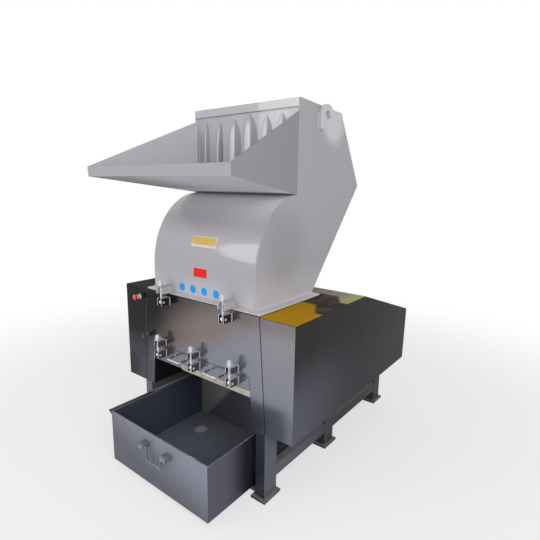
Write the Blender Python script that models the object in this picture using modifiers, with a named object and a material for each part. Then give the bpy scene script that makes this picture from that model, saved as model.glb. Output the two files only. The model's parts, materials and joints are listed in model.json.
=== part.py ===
"""Plastics granulator: a curved sheet-metal feed hopper clamped on a boxed base, with side guards,
a drop-out bin below and six legs. Metres, +Z up, the operator stands on the -Y side."""

from math import asin, cos, pi, radians, sin, sqrt

import bmesh
import bpy
from mathutils import Matrix, Vector

# Clearances
GAP = 0.0003  # between pieces that touch
ROD_PLAY = 0.0006  # between a pin and the eye that turns on it
SLIDE_PLAY = 0.005  # between moving pieces and what they pass
LAP = 0.001  # fused pieces run this far into each other, or stop this far short of a corner

# Base, as seen from the front. Depths run back from its front face.
TOP_Z = 0.963  # top of the base
GUARD_BOTTOM_Z = 0.375
GUARD_WIDTH = 0.2085  # from the seam with the body to the guard's outer face, at the top
SEAM_LEAN = 0.045  # the seam leans out this much from the top to the guard's bottom
COLUMN_WIDTH = 0.084  # front column, between the seam and the opening
BODY_DEPTH = 0.700  # front face to the bend in the top
BASE_DEPTH = 1.400  # front face to the back of the guards
REAR_DROP = 0.227  # the top falls this much from the bend to the back
REAR_LEAN = 0.010  # the back face leans forward this much at its foot
SHEET = 0.006
EDGE_ROUND = 0.003
SMALL_ROUND = 0.001

# Front opening and screen door
PANEL_BOTTOM_Z = 0.640
DOOR_HEIGHT = 0.067
STRIP_GAP = 0.002
STRIP_HEIGHT = 0.033
STRIP_LEFT_X = -0.138
STRIP_END_ROUND = 0.018
CHAMBER_OVERLAP = 0.002  # the chamber's underside lies this much above the strip's lower edge

# Legs and frame
LEG_WIDTH = 0.058
LEG_DEPTH = 0.100
LEG_STARTS = (0.0, 0.592, 1.300)
FOOT_OVERHANG = 0.017
FOOT_THICK = 0.012
SIDE_BEAM_WIDTH = 0.040
SIDE_BEAM_BOTTOM_Z = 0.092
SIDE_BEAM_HEIGHT = 0.063
CROSS_BEAM_DEPTH = 0.060
RAIL_THICK = 0.004
RAIL_LEDGE = 0.060
RAIL_HEIGHT = 0.034

# Bin
BIN_LENGTH = 0.680
BIN_PULLED_OUT = 0.300
BIN_BOTTOM_Z = 0.030
BIN_HEIGHT = 0.294
BIN_WALL = 0.004
BIN_LIP_OUT = 0.0295
BIN_LIP_RISE = 0.022
BIN_LIP_HEM = 0.012
BIN_HEM = 0.010
SKIRT_THICK = 0.004  # plate under the body on each side, down to the bin's rim

# Bin handle
BAIL_CENTRE_X = 0.024
BAIL_PIVOT_DROP = 0.063  # below the bin's rim
BAIL_HALF_WIDTH = 0.068
BAIL_DROP = 0.070
BAIL_ROD = 0.006
BAIL_BEND = 0.012
KNUCKLE_WIDTH = 0.046
KNUCKLE_RADIUS = 0.016
KNUCKLE_OUT = 0.028  # pivot in front of the bin
KNUCKLE_BORE = 0.0345
BAIL_END = 0.0276  # the handle's ends reach this far into the bores

# Hopper. Heights run up from its foot.
HOPPER_HALF_WIDTH = 0.379
HOPPER_FRONT = 0.0236
HOPPER_SHEET = 0.005
FLANGE_SIDE = 0.0485  # the flange, and the body's top under it, beyond the hopper's sides
FLANGE_THICK = 0.010
FLANGE_FRONT = 0.004
FLANGE_REAR = 0.545
BELLY_REACH = 0.352  # the belly is a quarter of an ellipse
BELLY_RISE = 0.410
BELLY_HEIGHT = 0.5514
MOUTH = 0.358
MOUTH_HEIGHT = 0.478
HEADER_HEIGHT = 0.043
ROOF_REAR = 0.790
ROOF_DROP = 0.017
BACK_BEND = 1.042
BACK_BEND_DROP = 0.423  # below the crown
BACK_FOOT = 0.535
ARC_STEPS = 14

# Feed tray
TRAY_REACH = 0.633  # mouth to lip
TRAY_FRONT_WIDER = 0.1266  # on each side
TRAY_LIP_RISE = 0.076  # lip's foot above the belly's top
TRAY_LIP_HEIGHT = 0.050
TRAY_LIP_LEAN = 0.004
TRAY_WING_DROP = 0.065  # below the crown
TRAY_SHEET = 0.004
TRAY_SEAT = 0.0015  # the folded sheet's corners need this much room at the mouth

# Strip curtain
CLAMP_DEPTH = 0.010
CLAMP_INSET = 0.004
CURTAIN_THICK = 0.003
CURTAIN_STRIPS = 7
CURTAIN_SHIFT = 0.232
CURTAIN_BULGE = 0.024
CURTAIN_CLEAR = 0.030  # above the belly

# Lifting hooks
HOOK_CENTRE = 0.606
HOOK_DROP = 0.068  # middle of the outer curve below the crown
HOOK_OUTER = 0.071
HOOK_BAR = 0.046
HOOK_EYE_RISE = 0.012
HOOK_THICK = 0.020
HOOK_LEG = 0.065
HOOK_TIP = 0.003
HOOK_SLANT = 0.020

# Swing bolts, their clevises and catches
LOWER_BOLT_INSET = 0.088  # outer bolts from the ends of the screen door
UPPER_BOLT_INSET = 0.143  # bolts from the hopper's sides
BRACKET_WIDTH = 0.036
BRACKET_DEPTH = 0.060
BRACKET_PLATE = 0.006
EAR_THICK = 0.006
PLATE_MARGIN = 0.009
SLOT_PLAY = 0.0025
PIVOT_OUT = 0.046  # pin axis in front of the base
PIN_RADIUS = 0.0055
PIN_STICK_OUT = 0.003
CLEVIS_HEIGHT = 0.043
PIVOT_DROP = 0.024  # pin axis below the clevis's top
LOWER_CLEVIS_DROP = 0.012  # clevis's top below the panel's edge
CATCH_RISE = 0.048  # catch's top above the panel's edge
CATCH_HEIGHT = 0.032
UPPER_CLEVIS_DROP = 0.014  # clevis's top below the base's top
LUG_RISE = 0.039  # lug's top above the flange
LUG_WIDTH = 0.050
EYE_WALL = 0.006
EYE_LAP = 0.0023  # the bolt's shank runs this far into the eye
EYE_WIDTH = 0.016
WASHER_OVER = 0.0015  # washer's rim beyond the nut's corners
WASHER_THICK = 0.003
LOWER_BOLT_RADIUS = 0.0072
LOWER_NUT_ACROSS = 0.029
UPPER_BOLT_RADIUS = 0.0060
UPPER_NUT_ACROSS = 0.024
NUT_HEIGHT = 0.018
DOME_HEIGHT = 0.013
DOME_SHARE = 0.44  # the dome's radius as a share of the nut's width

# Door handles
DOOR_HANDLE_SHIFT = (0.001, 0.007)  # left and right handle from midway between the bolts
DOOR_HANDLE_DROP = 0.034  # below the door's top
DOOR_HANDLE_HALF = 0.050
DOOR_HANDLE_OUT = 0.058
DOOR_HANDLE_ROD = 0.005
DOOR_HANDLE_BEND = 0.016

# Stop button and panel latch
STOP_FROM_SEAM = 0.066
STOP_DROP = 0.058  # below the base's top
STOP_COLLAR = 0.0125
STOP_COLLAR_OUT = 0.026
STOP_BASE = 0.0156
STOP_BASE_THICK = 0.004
STOP_STEM = 0.006
STOP_STEM_PLAY = 0.001
STOP_SOCKET = 0.012
STOP_TRAVEL = 0.005
STOP_HEAD = 0.0165
STOP_HEAD_THICK = 0.013
LATCH_FROM_SEAM = 0.025
LATCH_RISE = 0.044  # above the panel's lower edge
LATCH_BOSS = 0.014
LATCH_BOSS_OUT = 0.018
LATCH_STEM = 0.006
LATCH_GRIP_LENGTH = 0.034
LATCH_GRIP_WIDTH = 0.014
LATCH_GRIP_THICK = 0.012
LATCH_OUT = 0.044

# The front face stands so that the whole machine is centred on the origin, front to back
REACH_FRONT = BIN_PULLED_OUT + KNUCKLE_OUT + KNUCKLE_RADIUS
REACH_REAR = LEG_STARTS[-1] + LEG_DEPTH + FOOT_OVERHANG
FRONT = (REACH_FRONT - REACH_REAR) / 2

for old in list(bpy.data.objects):
    bpy.data.objects.remove(old)
parts = bpy.data.collections.new("granulator")
cutters = bpy.data.collections.new("cutters")
bpy.context.scene.collection.children.link(parts)
bpy.context.scene.collection.children.link(cutters)


def finish_material(name, colour, roughness, metallic):
    material = bpy.data.materials.new(name)
    material.use_nodes = True
    shader = material.node_tree.nodes["Principled BSDF"]
    shader.inputs["Base Color"].default_value = (*colour, 1.0)
    shader.inputs["Roughness"].default_value = roughness
    shader.inputs["Metallic"].default_value = metallic
    return material


ENAMEL = finish_material("grey enamel", (0.40, 0.40, 0.42), 0.30, 0.0)
BLACK = finish_material("black enamel", (0.035, 0.037, 0.045), 0.25, 0.0)
GRAPHITE = finish_material("graphite paint", (0.09, 0.10, 0.12), 0.40, 0.0)
BEIGE = finish_material("worn beige strip", (0.45, 0.40, 0.34), 0.55, 0.0)
ZINC = finish_material("zinc plated steel", (0.75, 0.75, 0.76), 0.28, 1.0)
BRACKET_PAINT = finish_material("bracket steel", (0.48, 0.47, 0.48), 0.35, 1.0)
VINYL = finish_material("grey vinyl", (0.46, 0.46, 0.48), 0.40, 0.0)
RED = finish_material("red button", (0.72, 0.03, 0.02), 0.30, 0.0)
PALE = finish_material("pale plastic", (0.62, 0.60, 0.52), 0.40, 0.0)
STEEL = finish_material("worn steel rod", (0.42, 0.43, 0.46), 0.35, 1.0)


def new_part(name, mesh, material):
    part = bpy.data.objects.new(name, mesh)
    parts.objects.link(part)
    mesh.materials.clear()
    mesh.materials.append(material)
    return part


def hide_as_cutter(tool):
    parts.objects.unlink(tool)
    cutters.objects.link(tool)
    tool.hide_render = True
    tool.display_type = "WIRE"


def boolean(part, tool, operation):
    hide_as_cutter(tool)
    step = part.modifiers.new(operation.lower(), "BOOLEAN")
    step.operation = operation
    step.object = tool
    step.solver = "EXACT"


def round_edges(part, width=EDGE_ROUND, segments=2):
    bevel = part.modifiers.new("round edges", "BEVEL")
    bevel.width = width
    bevel.segments = segments
    bevel.limit_method = "ANGLE"
    bevel.angle_limit = radians(40)


def shade_round(part):
    part.data.shade_smooth()
    part.data.set_sharp_from_angle(angle=radians(35))


def box(name, low, high, material):
    mesh = bpy.data.meshes.new(name)
    shape = bmesh.new()
    bmesh.ops.create_cube(shape, size=1.0)
    size = Vector(high) - Vector(low)
    middle = (Vector(high) + Vector(low)) / 2
    bmesh.ops.scale(shape, vec=size, verts=shape.verts)
    bmesh.ops.translate(shape, vec=middle, verts=shape.verts)
    shape.to_mesh(mesh)
    shape.free()
    return new_part(name, mesh, material)


AXIS_TURN = {
    "X": Matrix(((0, 0, 1, 0), (1, 0, 0, 0), (0, 1, 0, 0), (0, 0, 0, 1))),
    "Y": Matrix(((1, 0, 0, 0), (0, 0, -1, 0), (0, 1, 0, 0), (0, 0, 0, 1))),
    "Z": Matrix.Identity(4),
}


def as_mesh(curve_object, material):
    """The curve as a welded mesh object of the same name and place."""
    name = curve_object.name
    bpy.context.view_layer.update()
    graph = bpy.context.evaluated_depsgraph_get()
    mesh = bpy.data.meshes.new_from_object(curve_object.evaluated_get(graph))
    place = curve_object.matrix_world.copy()
    bpy.data.objects.remove(curve_object)
    shape = bmesh.new()
    shape.from_mesh(mesh)
    bmesh.ops.remove_doubles(shape, verts=shape.verts, dist=0.00001)
    bmesh.ops.recalc_face_normals(shape, faces=shape.faces)
    shape.to_mesh(mesh)
    shape.free()
    part = new_part(name, mesh, material)
    part.matrix_world = place
    return part


def flat_outline(name, outline, axis, start, end, material):
    """A prism of the outline: (y, z) pairs along X, (x, z) pairs along Y, or (x, y) pairs along Z."""
    curve = bpy.data.curves.new(name, "CURVE")
    curve.dimensions = "2D"
    curve.fill_mode = "BOTH"
    curve.extrude = (end - start) / 2
    line = curve.splines.new("POLY")
    line.points.add(len(outline) - 1)
    for point, (u, v) in zip(line.points, outline):
        point.co = (u, v, 0.0, 1.0)
    line.use_cyclic_u = True
    holder = bpy.data.objects.new(name, curve)
    parts.objects.link(holder)
    middle = (start + end) / 2
    offset = {"X": (middle, 0, 0), "Y": (0, middle, 0), "Z": (0, 0, middle)}[axis]
    holder.matrix_world = Matrix.Translation(offset) @ AXIS_TURN[axis]
    return as_mesh(holder, material)


def rod(name, route, radius, material, roundness=2):
    """A round bar along the points, as a mesh."""
    curve = bpy.data.curves.new(name, "CURVE")
    curve.dimensions = "3D"
    curve.bevel_depth = radius
    curve.bevel_resolution = roundness
    curve.use_fill_caps = True
    line = curve.splines.new("POLY")
    line.points.add(len(route) - 1)
    for point, place in zip(line.points, route):
        point.co = (*place, 1.0)
    holder = bpy.data.objects.new(name, curve)
    parts.objects.link(holder)
    part = as_mesh(holder, material)
    shade_round(part)
    return part


def cylinder(name, radius, start, end, material, sides=20):
    """A cylinder between two points."""
    run = Vector(end) - Vector(start)
    mesh = bpy.data.meshes.new(name)
    shape = bmesh.new()
    bmesh.ops.create_cone(
        shape, cap_ends=True, segments=sides, radius1=radius, radius2=radius, depth=run.length
    )
    turn = Vector((0, 0, 1)).rotation_difference(run).to_matrix().to_4x4()
    place = Matrix.Translation((Vector(start) + Vector(end)) / 2)
    bmesh.ops.transform(shape, matrix=place @ turn, verts=shape.verts)
    shape.to_mesh(mesh)
    shape.free()
    part = new_part(name, mesh, material)
    shade_round(part)
    return part


def turned(name, profile, place, axis_turn, material, steps=16):
    """A turned piece: (radius, height) pairs from the bottom of the axis to its top, spun round Z."""
    mesh = bpy.data.meshes.new(name)
    line = [(radius, 0.0, height) for radius, height in reversed(profile)]
    mesh.from_pydata(line, [(i, i + 1) for i in range(len(line) - 1)], [])
    part = new_part(name, mesh, material)
    spin = part.modifiers.new("turn", "SCREW")
    spin.steps = steps
    spin.render_steps = steps
    spin.use_merge_vertices = True
    spin.merge_threshold = 0.00001
    bpy.context.view_layer.update()
    graph = bpy.context.evaluated_depsgraph_get()
    solid = bpy.data.meshes.new_from_object(part.evaluated_get(graph))
    bpy.data.objects.remove(part)
    shape = bmesh.new()
    shape.from_mesh(solid)
    bmesh.ops.remove_doubles(shape, verts=shape.verts, dist=0.00001)
    bmesh.ops.recalc_face_normals(shape, faces=shape.faces)
    bmesh.ops.transform(shape, matrix=Matrix.Translation(place) @ axis_turn, verts=shape.verts)
    shape.to_mesh(solid)
    shape.free()
    part = new_part(name, solid, material)
    shade_round(part)
    return part


def set_origin(part, place):
    """Moves the piece's origin to its joint axis without moving the piece."""
    part.data.transform(Matrix.Translation(-Vector(place)))
    part.matrix_world = Matrix.Translation(place) @ part.matrix_world


def folded_sheet(name, profile, half_width, thickness, material):
    """A bent plate: the (y, z) line is its outer face, the sheet lies to the right of the line."""
    inner = []
    last = len(profile) - 1
    for step, spot in enumerate(profile):
        here = Vector(spot)
        before = (here - Vector(profile[max(step - 1, 0)])).normalized()
        after = (Vector(profile[min(step + 1, last)]) - here).normalized()
        if step == 0:
            before = after
        if step == last:
            after = before
        side = Vector((before.y + after.y, -before.x - after.x)).normalized()
        square = Vector((before.y, -before.x))
        inner.append(tuple(here + side * (thickness / side.dot(square))))
    outline = list(profile) + inner[::-1]
    return flat_outline(name, outline, "X", -half_width, half_width, material)


def thicken(part, thickness, offset=-1.0):
    solid = part.modifiers.new("sheet", "SOLIDIFY")
    solid.thickness = thickness
    solid.offset = offset
    solid.use_even_offset = True


# Half widths of the body at its top and bottom, and of the whole base
SEAM_TOP_X = HOPPER_HALF_WIDTH + FLANGE_SIDE
SEAM_BOTTOM_X = SEAM_TOP_X + SEAM_LEAN
GUARD_OUTER_X = SEAM_TOP_X + GUARD_WIDTH


def seam_x(z, inset=0.0):
    """Half width of the body at a height: its sides lean out towards the bottom."""
    share = (TOP_Z - z) / (TOP_Z - GUARD_BOTTOM_Z)
    return SEAM_TOP_X + SEAM_LEAN * share - inset


def y_at(depth):
    return FRONT + depth


LEG_OUTER_X = SEAM_BOTTOM_X
LEG_INNER_X = LEG_OUTER_X - LEG_WIDTH
BIN_HALF_WIDTH = LEG_INNER_X - SLIDE_PLAY - BIN_LIP_OUT
SIDE_BEAM_TOP_Z = SIDE_BEAM_BOTTOM_Z + SIDE_BEAM_HEIGHT
DOOR_TOP_Z = PANEL_BOTTOM_Z - GAP
DOOR_BOTTOM_Z = PANEL_BOTTOM_Z - DOOR_HEIGHT
STRIP_TOP_Z = DOOR_BOTTOM_Z - STRIP_GAP
STRIP_BOTTOM_Z = STRIP_TOP_Z - STRIP_HEIGHT
CHAMBER_BOTTOM_Z = STRIP_BOTTOM_Z + CHAMBER_OVERLAP
BIN_TOP_Z = BIN_BOTTOM_Z + BIN_HEIGHT
FLANGE_TOP_Z = TOP_Z + GAP + FLANGE_THICK
HOPPER_FOOT_Z = FLANGE_TOP_Z + GAP
BELLY_TOP_Z = HOPPER_FOOT_Z + BELLY_HEIGHT
CROWN_Z = BELLY_TOP_Z + MOUTH_HEIGHT


def base_profile(first_depth, last_depth):
    """Side outline (y, z) of the base between two depths, sloping down behind the bend."""
    slope = REAR_DROP / (BASE_DEPTH - BODY_DEPTH)

    def top(depth):
        return TOP_Z - max(0.0, depth - BODY_DEPTH) * slope

    at_back = last_depth >= BASE_DEPTH
    foot = last_depth - (REAR_LEAN if at_back else 0.0)
    outline = [(y_at(first_depth), GUARD_BOTTOM_Z), (y_at(foot), GUARD_BOTTOM_Z)]
    outline.append((y_at(last_depth), top(last_depth)))
    if first_depth < BODY_DEPTH < last_depth:
        outline.append((y_at(BODY_DEPTH), TOP_Z))
    outline.append((y_at(first_depth), top(first_depth)))
    return outline


LOWER_BOLT = seam_x(DOOR_TOP_Z, COLUMN_WIDTH) - LOWER_BOLT_INSET
LOWER_BOLT_X = (-LOWER_BOLT, 0.0, LOWER_BOLT)
DOOR_HANDLE_X = (DOOR_HANDLE_SHIFT[0] - LOWER_BOLT / 2, DOOR_HANDLE_SHIFT[1] + LOWER_BOLT / 2)
UPPER_BOLT = HOPPER_HALF_WIDTH - UPPER_BOLT_INSET
UPPER_BOLT_X = (-UPPER_BOLT, UPPER_BOLT)


def body_section(inset, opening_top=None):
    """Front outline (x, z) of the body, with the bin's opening cut in where it is given."""
    low = GUARD_BOTTOM_Z
    outline = [(-seam_x(low, inset), low)]
    if opening_top is not None:
        outline.append((-seam_x(low, COLUMN_WIDTH), low))
        outline.append((-seam_x(opening_top, COLUMN_WIDTH), opening_top))
        outline.append((seam_x(opening_top, COLUMN_WIDTH), opening_top))
        outline.append((seam_x(low, COLUMN_WIDTH), low))
    outline.append((seam_x(low, inset), low))
    outline.append((seam_x(TOP_Z, inset), TOP_Z))
    outline.append((-seam_x(TOP_Z, inset), TOP_Z))
    return outline


def build_base():
    panel = flat_outline(
        "front_panel",
        body_section(GAP, PANEL_BOTTOM_Z),
        "Y",
        y_at(0.0),
        y_at(SHEET),
        BLACK,
    )
    round_edges(panel, SMALL_ROUND, 1)

    body = flat_outline(
        "chamber_body",
        body_section(GAP, CHAMBER_BOTTOM_Z),
        "Y",
        y_at(SHEET + GAP),
        y_at(BODY_DEPTH),
        BLACK,
    )
    round_edges(body, SMALL_ROUND, 1)

    rear = flat_outline(
        "rear_housing",
        base_profile(BODY_DEPTH + GAP, BASE_DEPTH),
        "X",
        -GUARD_OUTER_X,
        GUARD_OUTER_X,
        BLACK,
    )
    shaper = flat_outline(
        "rear_shaper",
        body_section(GAP),
        "Y",
        y_at(BODY_DEPTH / 2),
        y_at(BASE_DEPTH + BODY_DEPTH),
        BLACK,
    )
    boolean(rear, shaper, "INTERSECT")

    for side, name in ((-1, "left_guard"), (1, "right_guard")):
        span = sorted((side * SEAM_TOP_X / 2, side * GUARD_OUTER_X))
        guard = flat_outline(name, base_profile(0.0, BASE_DEPTH), "X", *span, BLACK)
        shaper = flat_outline(
            name + "_shaper",
            body_section(-GAP),
            "Y",
            y_at(-BODY_DEPTH),
            y_at(BASE_DEPTH + BODY_DEPTH),
            BLACK,
        )
        stretch_ends(shaper, 2 * TOP_Z)
        boolean(guard, shaper, "DIFFERENCE")
        round_edges(guard)


def stretch_ends(shaper, tall):
    """Runs the leaning sides of a cutter on past the top and bottom of what it cuts."""
    lean = SEAM_LEAN / (TOP_Z - GUARD_BOTTOM_Z)
    place = shaper.matrix_world
    back = place.inverted()
    for vertex in shaper.data.vertices:
        spot = place @ vertex.co
        up = spot.z > (TOP_Z + GUARD_BOTTOM_Z) / 2
        run = tall - spot.z if up else -GUARD_BOTTOM_Z / 2 - spot.z
        side = 1 if spot.x > 0 else -1
        spot.x -= side * lean * run
        spot.z += run
        vertex.co = back @ spot


def build_door():
    bottom_x = seam_x(DOOR_BOTTOM_Z, COLUMN_WIDTH + GAP)
    top_x = seam_x(DOOR_TOP_Z, COLUMN_WIDTH + GAP)
    outline = [
        (-bottom_x, DOOR_BOTTOM_Z),
        (bottom_x, DOOR_BOTTOM_Z),
        (top_x, DOOR_TOP_Z),
        (-top_x, DOOR_TOP_Z),
    ]
    door = flat_outline("screen_door", outline, "Y", y_at(0.0), y_at(SHEET), BLACK)
    round_edges(door, SMALL_ROUND, 1)

    right_low = seam_x(STRIP_BOTTOM_Z, COLUMN_WIDTH + GAP)
    right_high = seam_x(STRIP_TOP_Z, COLUMN_WIDTH + GAP)
    outline = [(right_low, STRIP_BOTTOM_Z), (right_high, STRIP_TOP_Z), (STRIP_LEFT_X, STRIP_TOP_Z)]
    turn_x = STRIP_LEFT_X + STRIP_END_ROUND
    turn_z = STRIP_BOTTOM_Z + STRIP_END_ROUND
    for step in range(6):
        angle = pi + step * (pi / 2) / 5
        outline.append((turn_x + STRIP_END_ROUND * cos(angle), turn_z + STRIP_END_ROUND * sin(angle)))
    strip = flat_outline("lip_strip", outline, "Y", y_at(0.0), y_at(SHEET), BEIGE)
    round_edges(strip, SMALL_ROUND, 1)


def build_side_frame(name, side):
    """Three legs on foot plates, the beam along them and the rail that carries the bin."""

    def across(near, far):
        return sorted((side * near, side * far))

    low, high = across(LEG_INNER_X, LEG_OUTER_X)
    frame = None
    for start in LEG_STARTS:
        leg = box(
            name if frame is None else f"{name}_leg_{start}",
            (low, y_at(start), LAP),
            (high, y_at(start + LEG_DEPTH), GUARD_BOTTOM_Z - GAP),
            BLACK,
        )
        foot_low, foot_high = across(LEG_INNER_X - FOOT_OVERHANG, LEG_OUTER_X + FOOT_OVERHANG)
        foot = box(
            f"{name}_foot_{start}",
            (foot_low, y_at(start - FOOT_OVERHANG), 0.0),
            (foot_high, y_at(start + LEG_DEPTH + FOOT_OVERHANG), FOOT_THICK),
            BLACK,
        )
        if frame is None:
            frame = leg
        else:
            boolean(frame, leg, "UNION")
        boolean(frame, foot, "UNION")

    beam_low, beam_high = across(LEG_OUTER_X - SIDE_BEAM_WIDTH, LEG_OUTER_X - LAP)
    beam = box(
        name + "_beam",
        (beam_low, y_at(LEG_STARTS[0] + LEG_DEPTH / 2), SIDE_BEAM_BOTTOM_Z),
        (beam_high, y_at(LEG_STARTS[-1] + LEG_DEPTH / 2), SIDE_BEAM_TOP_Z),
        BLACK,
    )
    boolean(frame, beam, "UNION")

    ledge_top = BIN_BOTTOM_Z - GAP
    ledge_low, ledge_high = across(LEG_INNER_X - RAIL_LEDGE, LEG_INNER_X + LAP)
    web_low, web_high = across(LEG_INNER_X - RAIL_THICK, LEG_INNER_X + LAP)
    rail_start = y_at(LEG_STARTS[0] + 2 * LAP)
    rail_end = y_at(LEG_STARTS[1] + LEG_DEPTH - 2 * LAP)
    ledge = box(
        name + "_ledge",
        (ledge_low, rail_start, ledge_top - RAIL_THICK),
        (ledge_high, rail_end, ledge_top),
        BLACK,
    )
    web = box(
        name + "_web",
        (web_low, rail_start + LAP, ledge_top - RAIL_THICK + LAP),
        (web_high, rail_end - LAP, ledge_top + RAIL_HEIGHT),
        BLACK,
    )
    boolean(frame, ledge, "UNION")
    boolean(frame, web, "UNION")


def build_cross_beam():
    start = LEG_STARTS[-1] + (LEG_DEPTH - CROSS_BEAM_DEPTH) / 2
    beam = box(
        "rear_cross_beam",
        (-LEG_INNER_X + GAP, y_at(start), SIDE_BEAM_BOTTOM_Z),
        (LEG_INNER_X - GAP, y_at(start + CROSS_BEAM_DEPTH), SIDE_BEAM_TOP_Z),
        BLACK,
    )
    round_edges(beam)


def build_bin_skirts():
    """A strip of plate between the front and middle legs closes the gap above the bin's rim."""
    for side, word in ((-1, "left"), (1, "right")):
        span = sorted((side * LEG_INNER_X, side * (LEG_INNER_X + SKIRT_THICK)))
        box(
            f"{word}_bin_skirt",
            (span[0], y_at(LEG_STARTS[0] + LEG_DEPTH + GAP), BIN_TOP_Z + SLIDE_PLAY),
            (span[1], y_at(LEG_STARTS[1] - GAP), GUARD_BOTTOM_Z - GAP),
            BLACK,
        )


def build_bin():
    front = y_at(-BIN_PULLED_OUT)
    back = front + BIN_LENGTH
    wide = BIN_HALF_WIDTH
    inside = wide - BIN_WALL
    tub = box("bin", (-wide, front, BIN_BOTTOM_Z), (wide, back, BIN_TOP_Z), GRAPHITE)
    hollow = box(
        "bin_hollow",
        (-inside, front + BIN_WALL, BIN_BOTTOM_Z + BIN_WALL),
        (inside, back - BIN_WALL, BIN_TOP_Z + BIN_HEIGHT),
        GRAPHITE,
    )
    boolean(tub, hollow, "DIFFERENCE")

    # The left wall's edge flares out and ends in a turned-down hem
    root_z = BIN_TOP_Z - BIN_LIP_RISE
    root_x = -wide + BIN_WALL / 2
    tip_x = -wide - BIN_LIP_OUT
    lip = flat_outline(
        "bin_lip",
        [
            (root_x, root_z - BIN_WALL),
            (root_x, root_z + BIN_WALL / 2),
            (tip_x, BIN_TOP_Z - SMALL_ROUND),
            (tip_x, BIN_TOP_Z - BIN_LIP_HEM),
            (tip_x + BIN_WALL, BIN_TOP_Z - BIN_LIP_HEM),
            (tip_x + BIN_WALL, BIN_TOP_Z - 1.5 * BIN_WALL),
        ],
        "Y",
        front + SMALL_ROUND,
        back - SMALL_ROUND,
        GRAPHITE,
    )
    boolean(tub, lip, "UNION")
    hem = box(
        "bin_hem",
        (-wide + SMALL_ROUND, front + BIN_WALL / 2, BIN_TOP_Z - BIN_WALL),
        (wide - SMALL_ROUND, front + BIN_HEM, BIN_TOP_Z - SMALL_ROUND / 2),
        GRAPHITE,
    )
    boolean(tub, hem, "UNION")
    build_bin_handle(tub, front)


def build_bin_handle(tub, front):
    """Two round-nosed knuckles on the bin's front, and the drop handle that swings in them."""
    pivot_y = front - KNUCKLE_OUT
    pivot_z = BIN_TOP_Z - BAIL_PIVOT_DROP
    nose = [(front + BIN_WALL / 2, pivot_z + KNUCKLE_RADIUS)]
    for step in range(9):
        angle = pi / 2 + step * pi / 8
        nose.append((pivot_y + KNUCKLE_RADIUS * cos(angle), pivot_z + KNUCKLE_RADIUS * sin(angle)))
    nose.append((front + BIN_WALL / 2, pivot_z - KNUCKLE_RADIUS))
    for side in (-1, 1):
        near = BAIL_CENTRE_X + side * BAIL_HALF_WIDTH
        far = near + side * KNUCKLE_WIDTH
        knuckle = flat_outline(f"bin_knuckle_{side}", nose, "X", *sorted((near, far)), GRAPHITE)
        bore = cylinder(
            f"bin_bore_{side}",
            BAIL_ROD + ROD_PLAY,
            (near - side * KNUCKLE_WIDTH / 2, pivot_y, pivot_z),
            (near + side * KNUCKLE_BORE, pivot_y, pivot_z),
            GRAPHITE,
            16,
        )
        boolean(knuckle, bore, "DIFFERENCE")
        boolean(tub, knuckle, "UNION")

    arm = BAIL_HALF_WIDTH + BAIL_END
    leg_x = BAIL_HALF_WIDTH - BAIL_ROD - SLIDE_PLAY
    half = [(-arm, 0.0)]
    for step in range(4):
        angle = pi / 2 - step * (pi / 2) / 3
        half.append((-leg_x - BAIL_BEND + BAIL_BEND * cos(angle), BAIL_BEND * (sin(angle) - 1)))
    for step in range(4):
        angle = pi + step * (pi / 2) / 3
        half.append(
            (-leg_x + BAIL_BEND + BAIL_BEND * cos(angle), -BAIL_DROP + BAIL_BEND * (1 + sin(angle)))
        )
    route = [(BAIL_CENTRE_X + x, pivot_y, pivot_z + z) for x, z in half]
    route += [(BAIL_CENTRE_X - x, pivot_y, pivot_z + z) for x, z in reversed(half)]
    bail = rod("bail_handle", route, BAIL_ROD, STEEL, 3)
    set_origin(bail, (BAIL_CENTRE_X, pivot_y, pivot_z))


def belly_line():
    """(y, z) line up the front of the hopper and round its belly to the mouth."""
    middle_y = y_at(HOPPER_FRONT) + BELLY_REACH
    end = pi / 2 + (HOPPER_FRONT + BELLY_REACH - MOUTH) / BELLY_REACH
    middle_z = BELLY_TOP_Z - BELLY_RISE * sin(end)
    line = [(y_at(HOPPER_FRONT), HOPPER_FOOT_Z)]
    for step in range(ARC_STEPS):
        angle = pi + step * (end - pi) / ARC_STEPS
        line.append((middle_y + BELLY_REACH * cos(angle), middle_z + BELLY_RISE * sin(angle)))
    line.append((y_at(MOUTH), BELLY_TOP_Z))
    return line


def back_line():
    """(y, z) line from the header over the roof and down the back of the hopper."""
    return [
        (y_at(MOUTH + HOPPER_SHEET + GAP), CROWN_Z),
        (y_at(ROOF_REAR), CROWN_Z - ROOF_DROP),
        (y_at(BACK_BEND), CROWN_Z - BACK_BEND_DROP),
        (y_at(BACK_FOOT), HOPPER_FOOT_Z),
    ]


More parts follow.
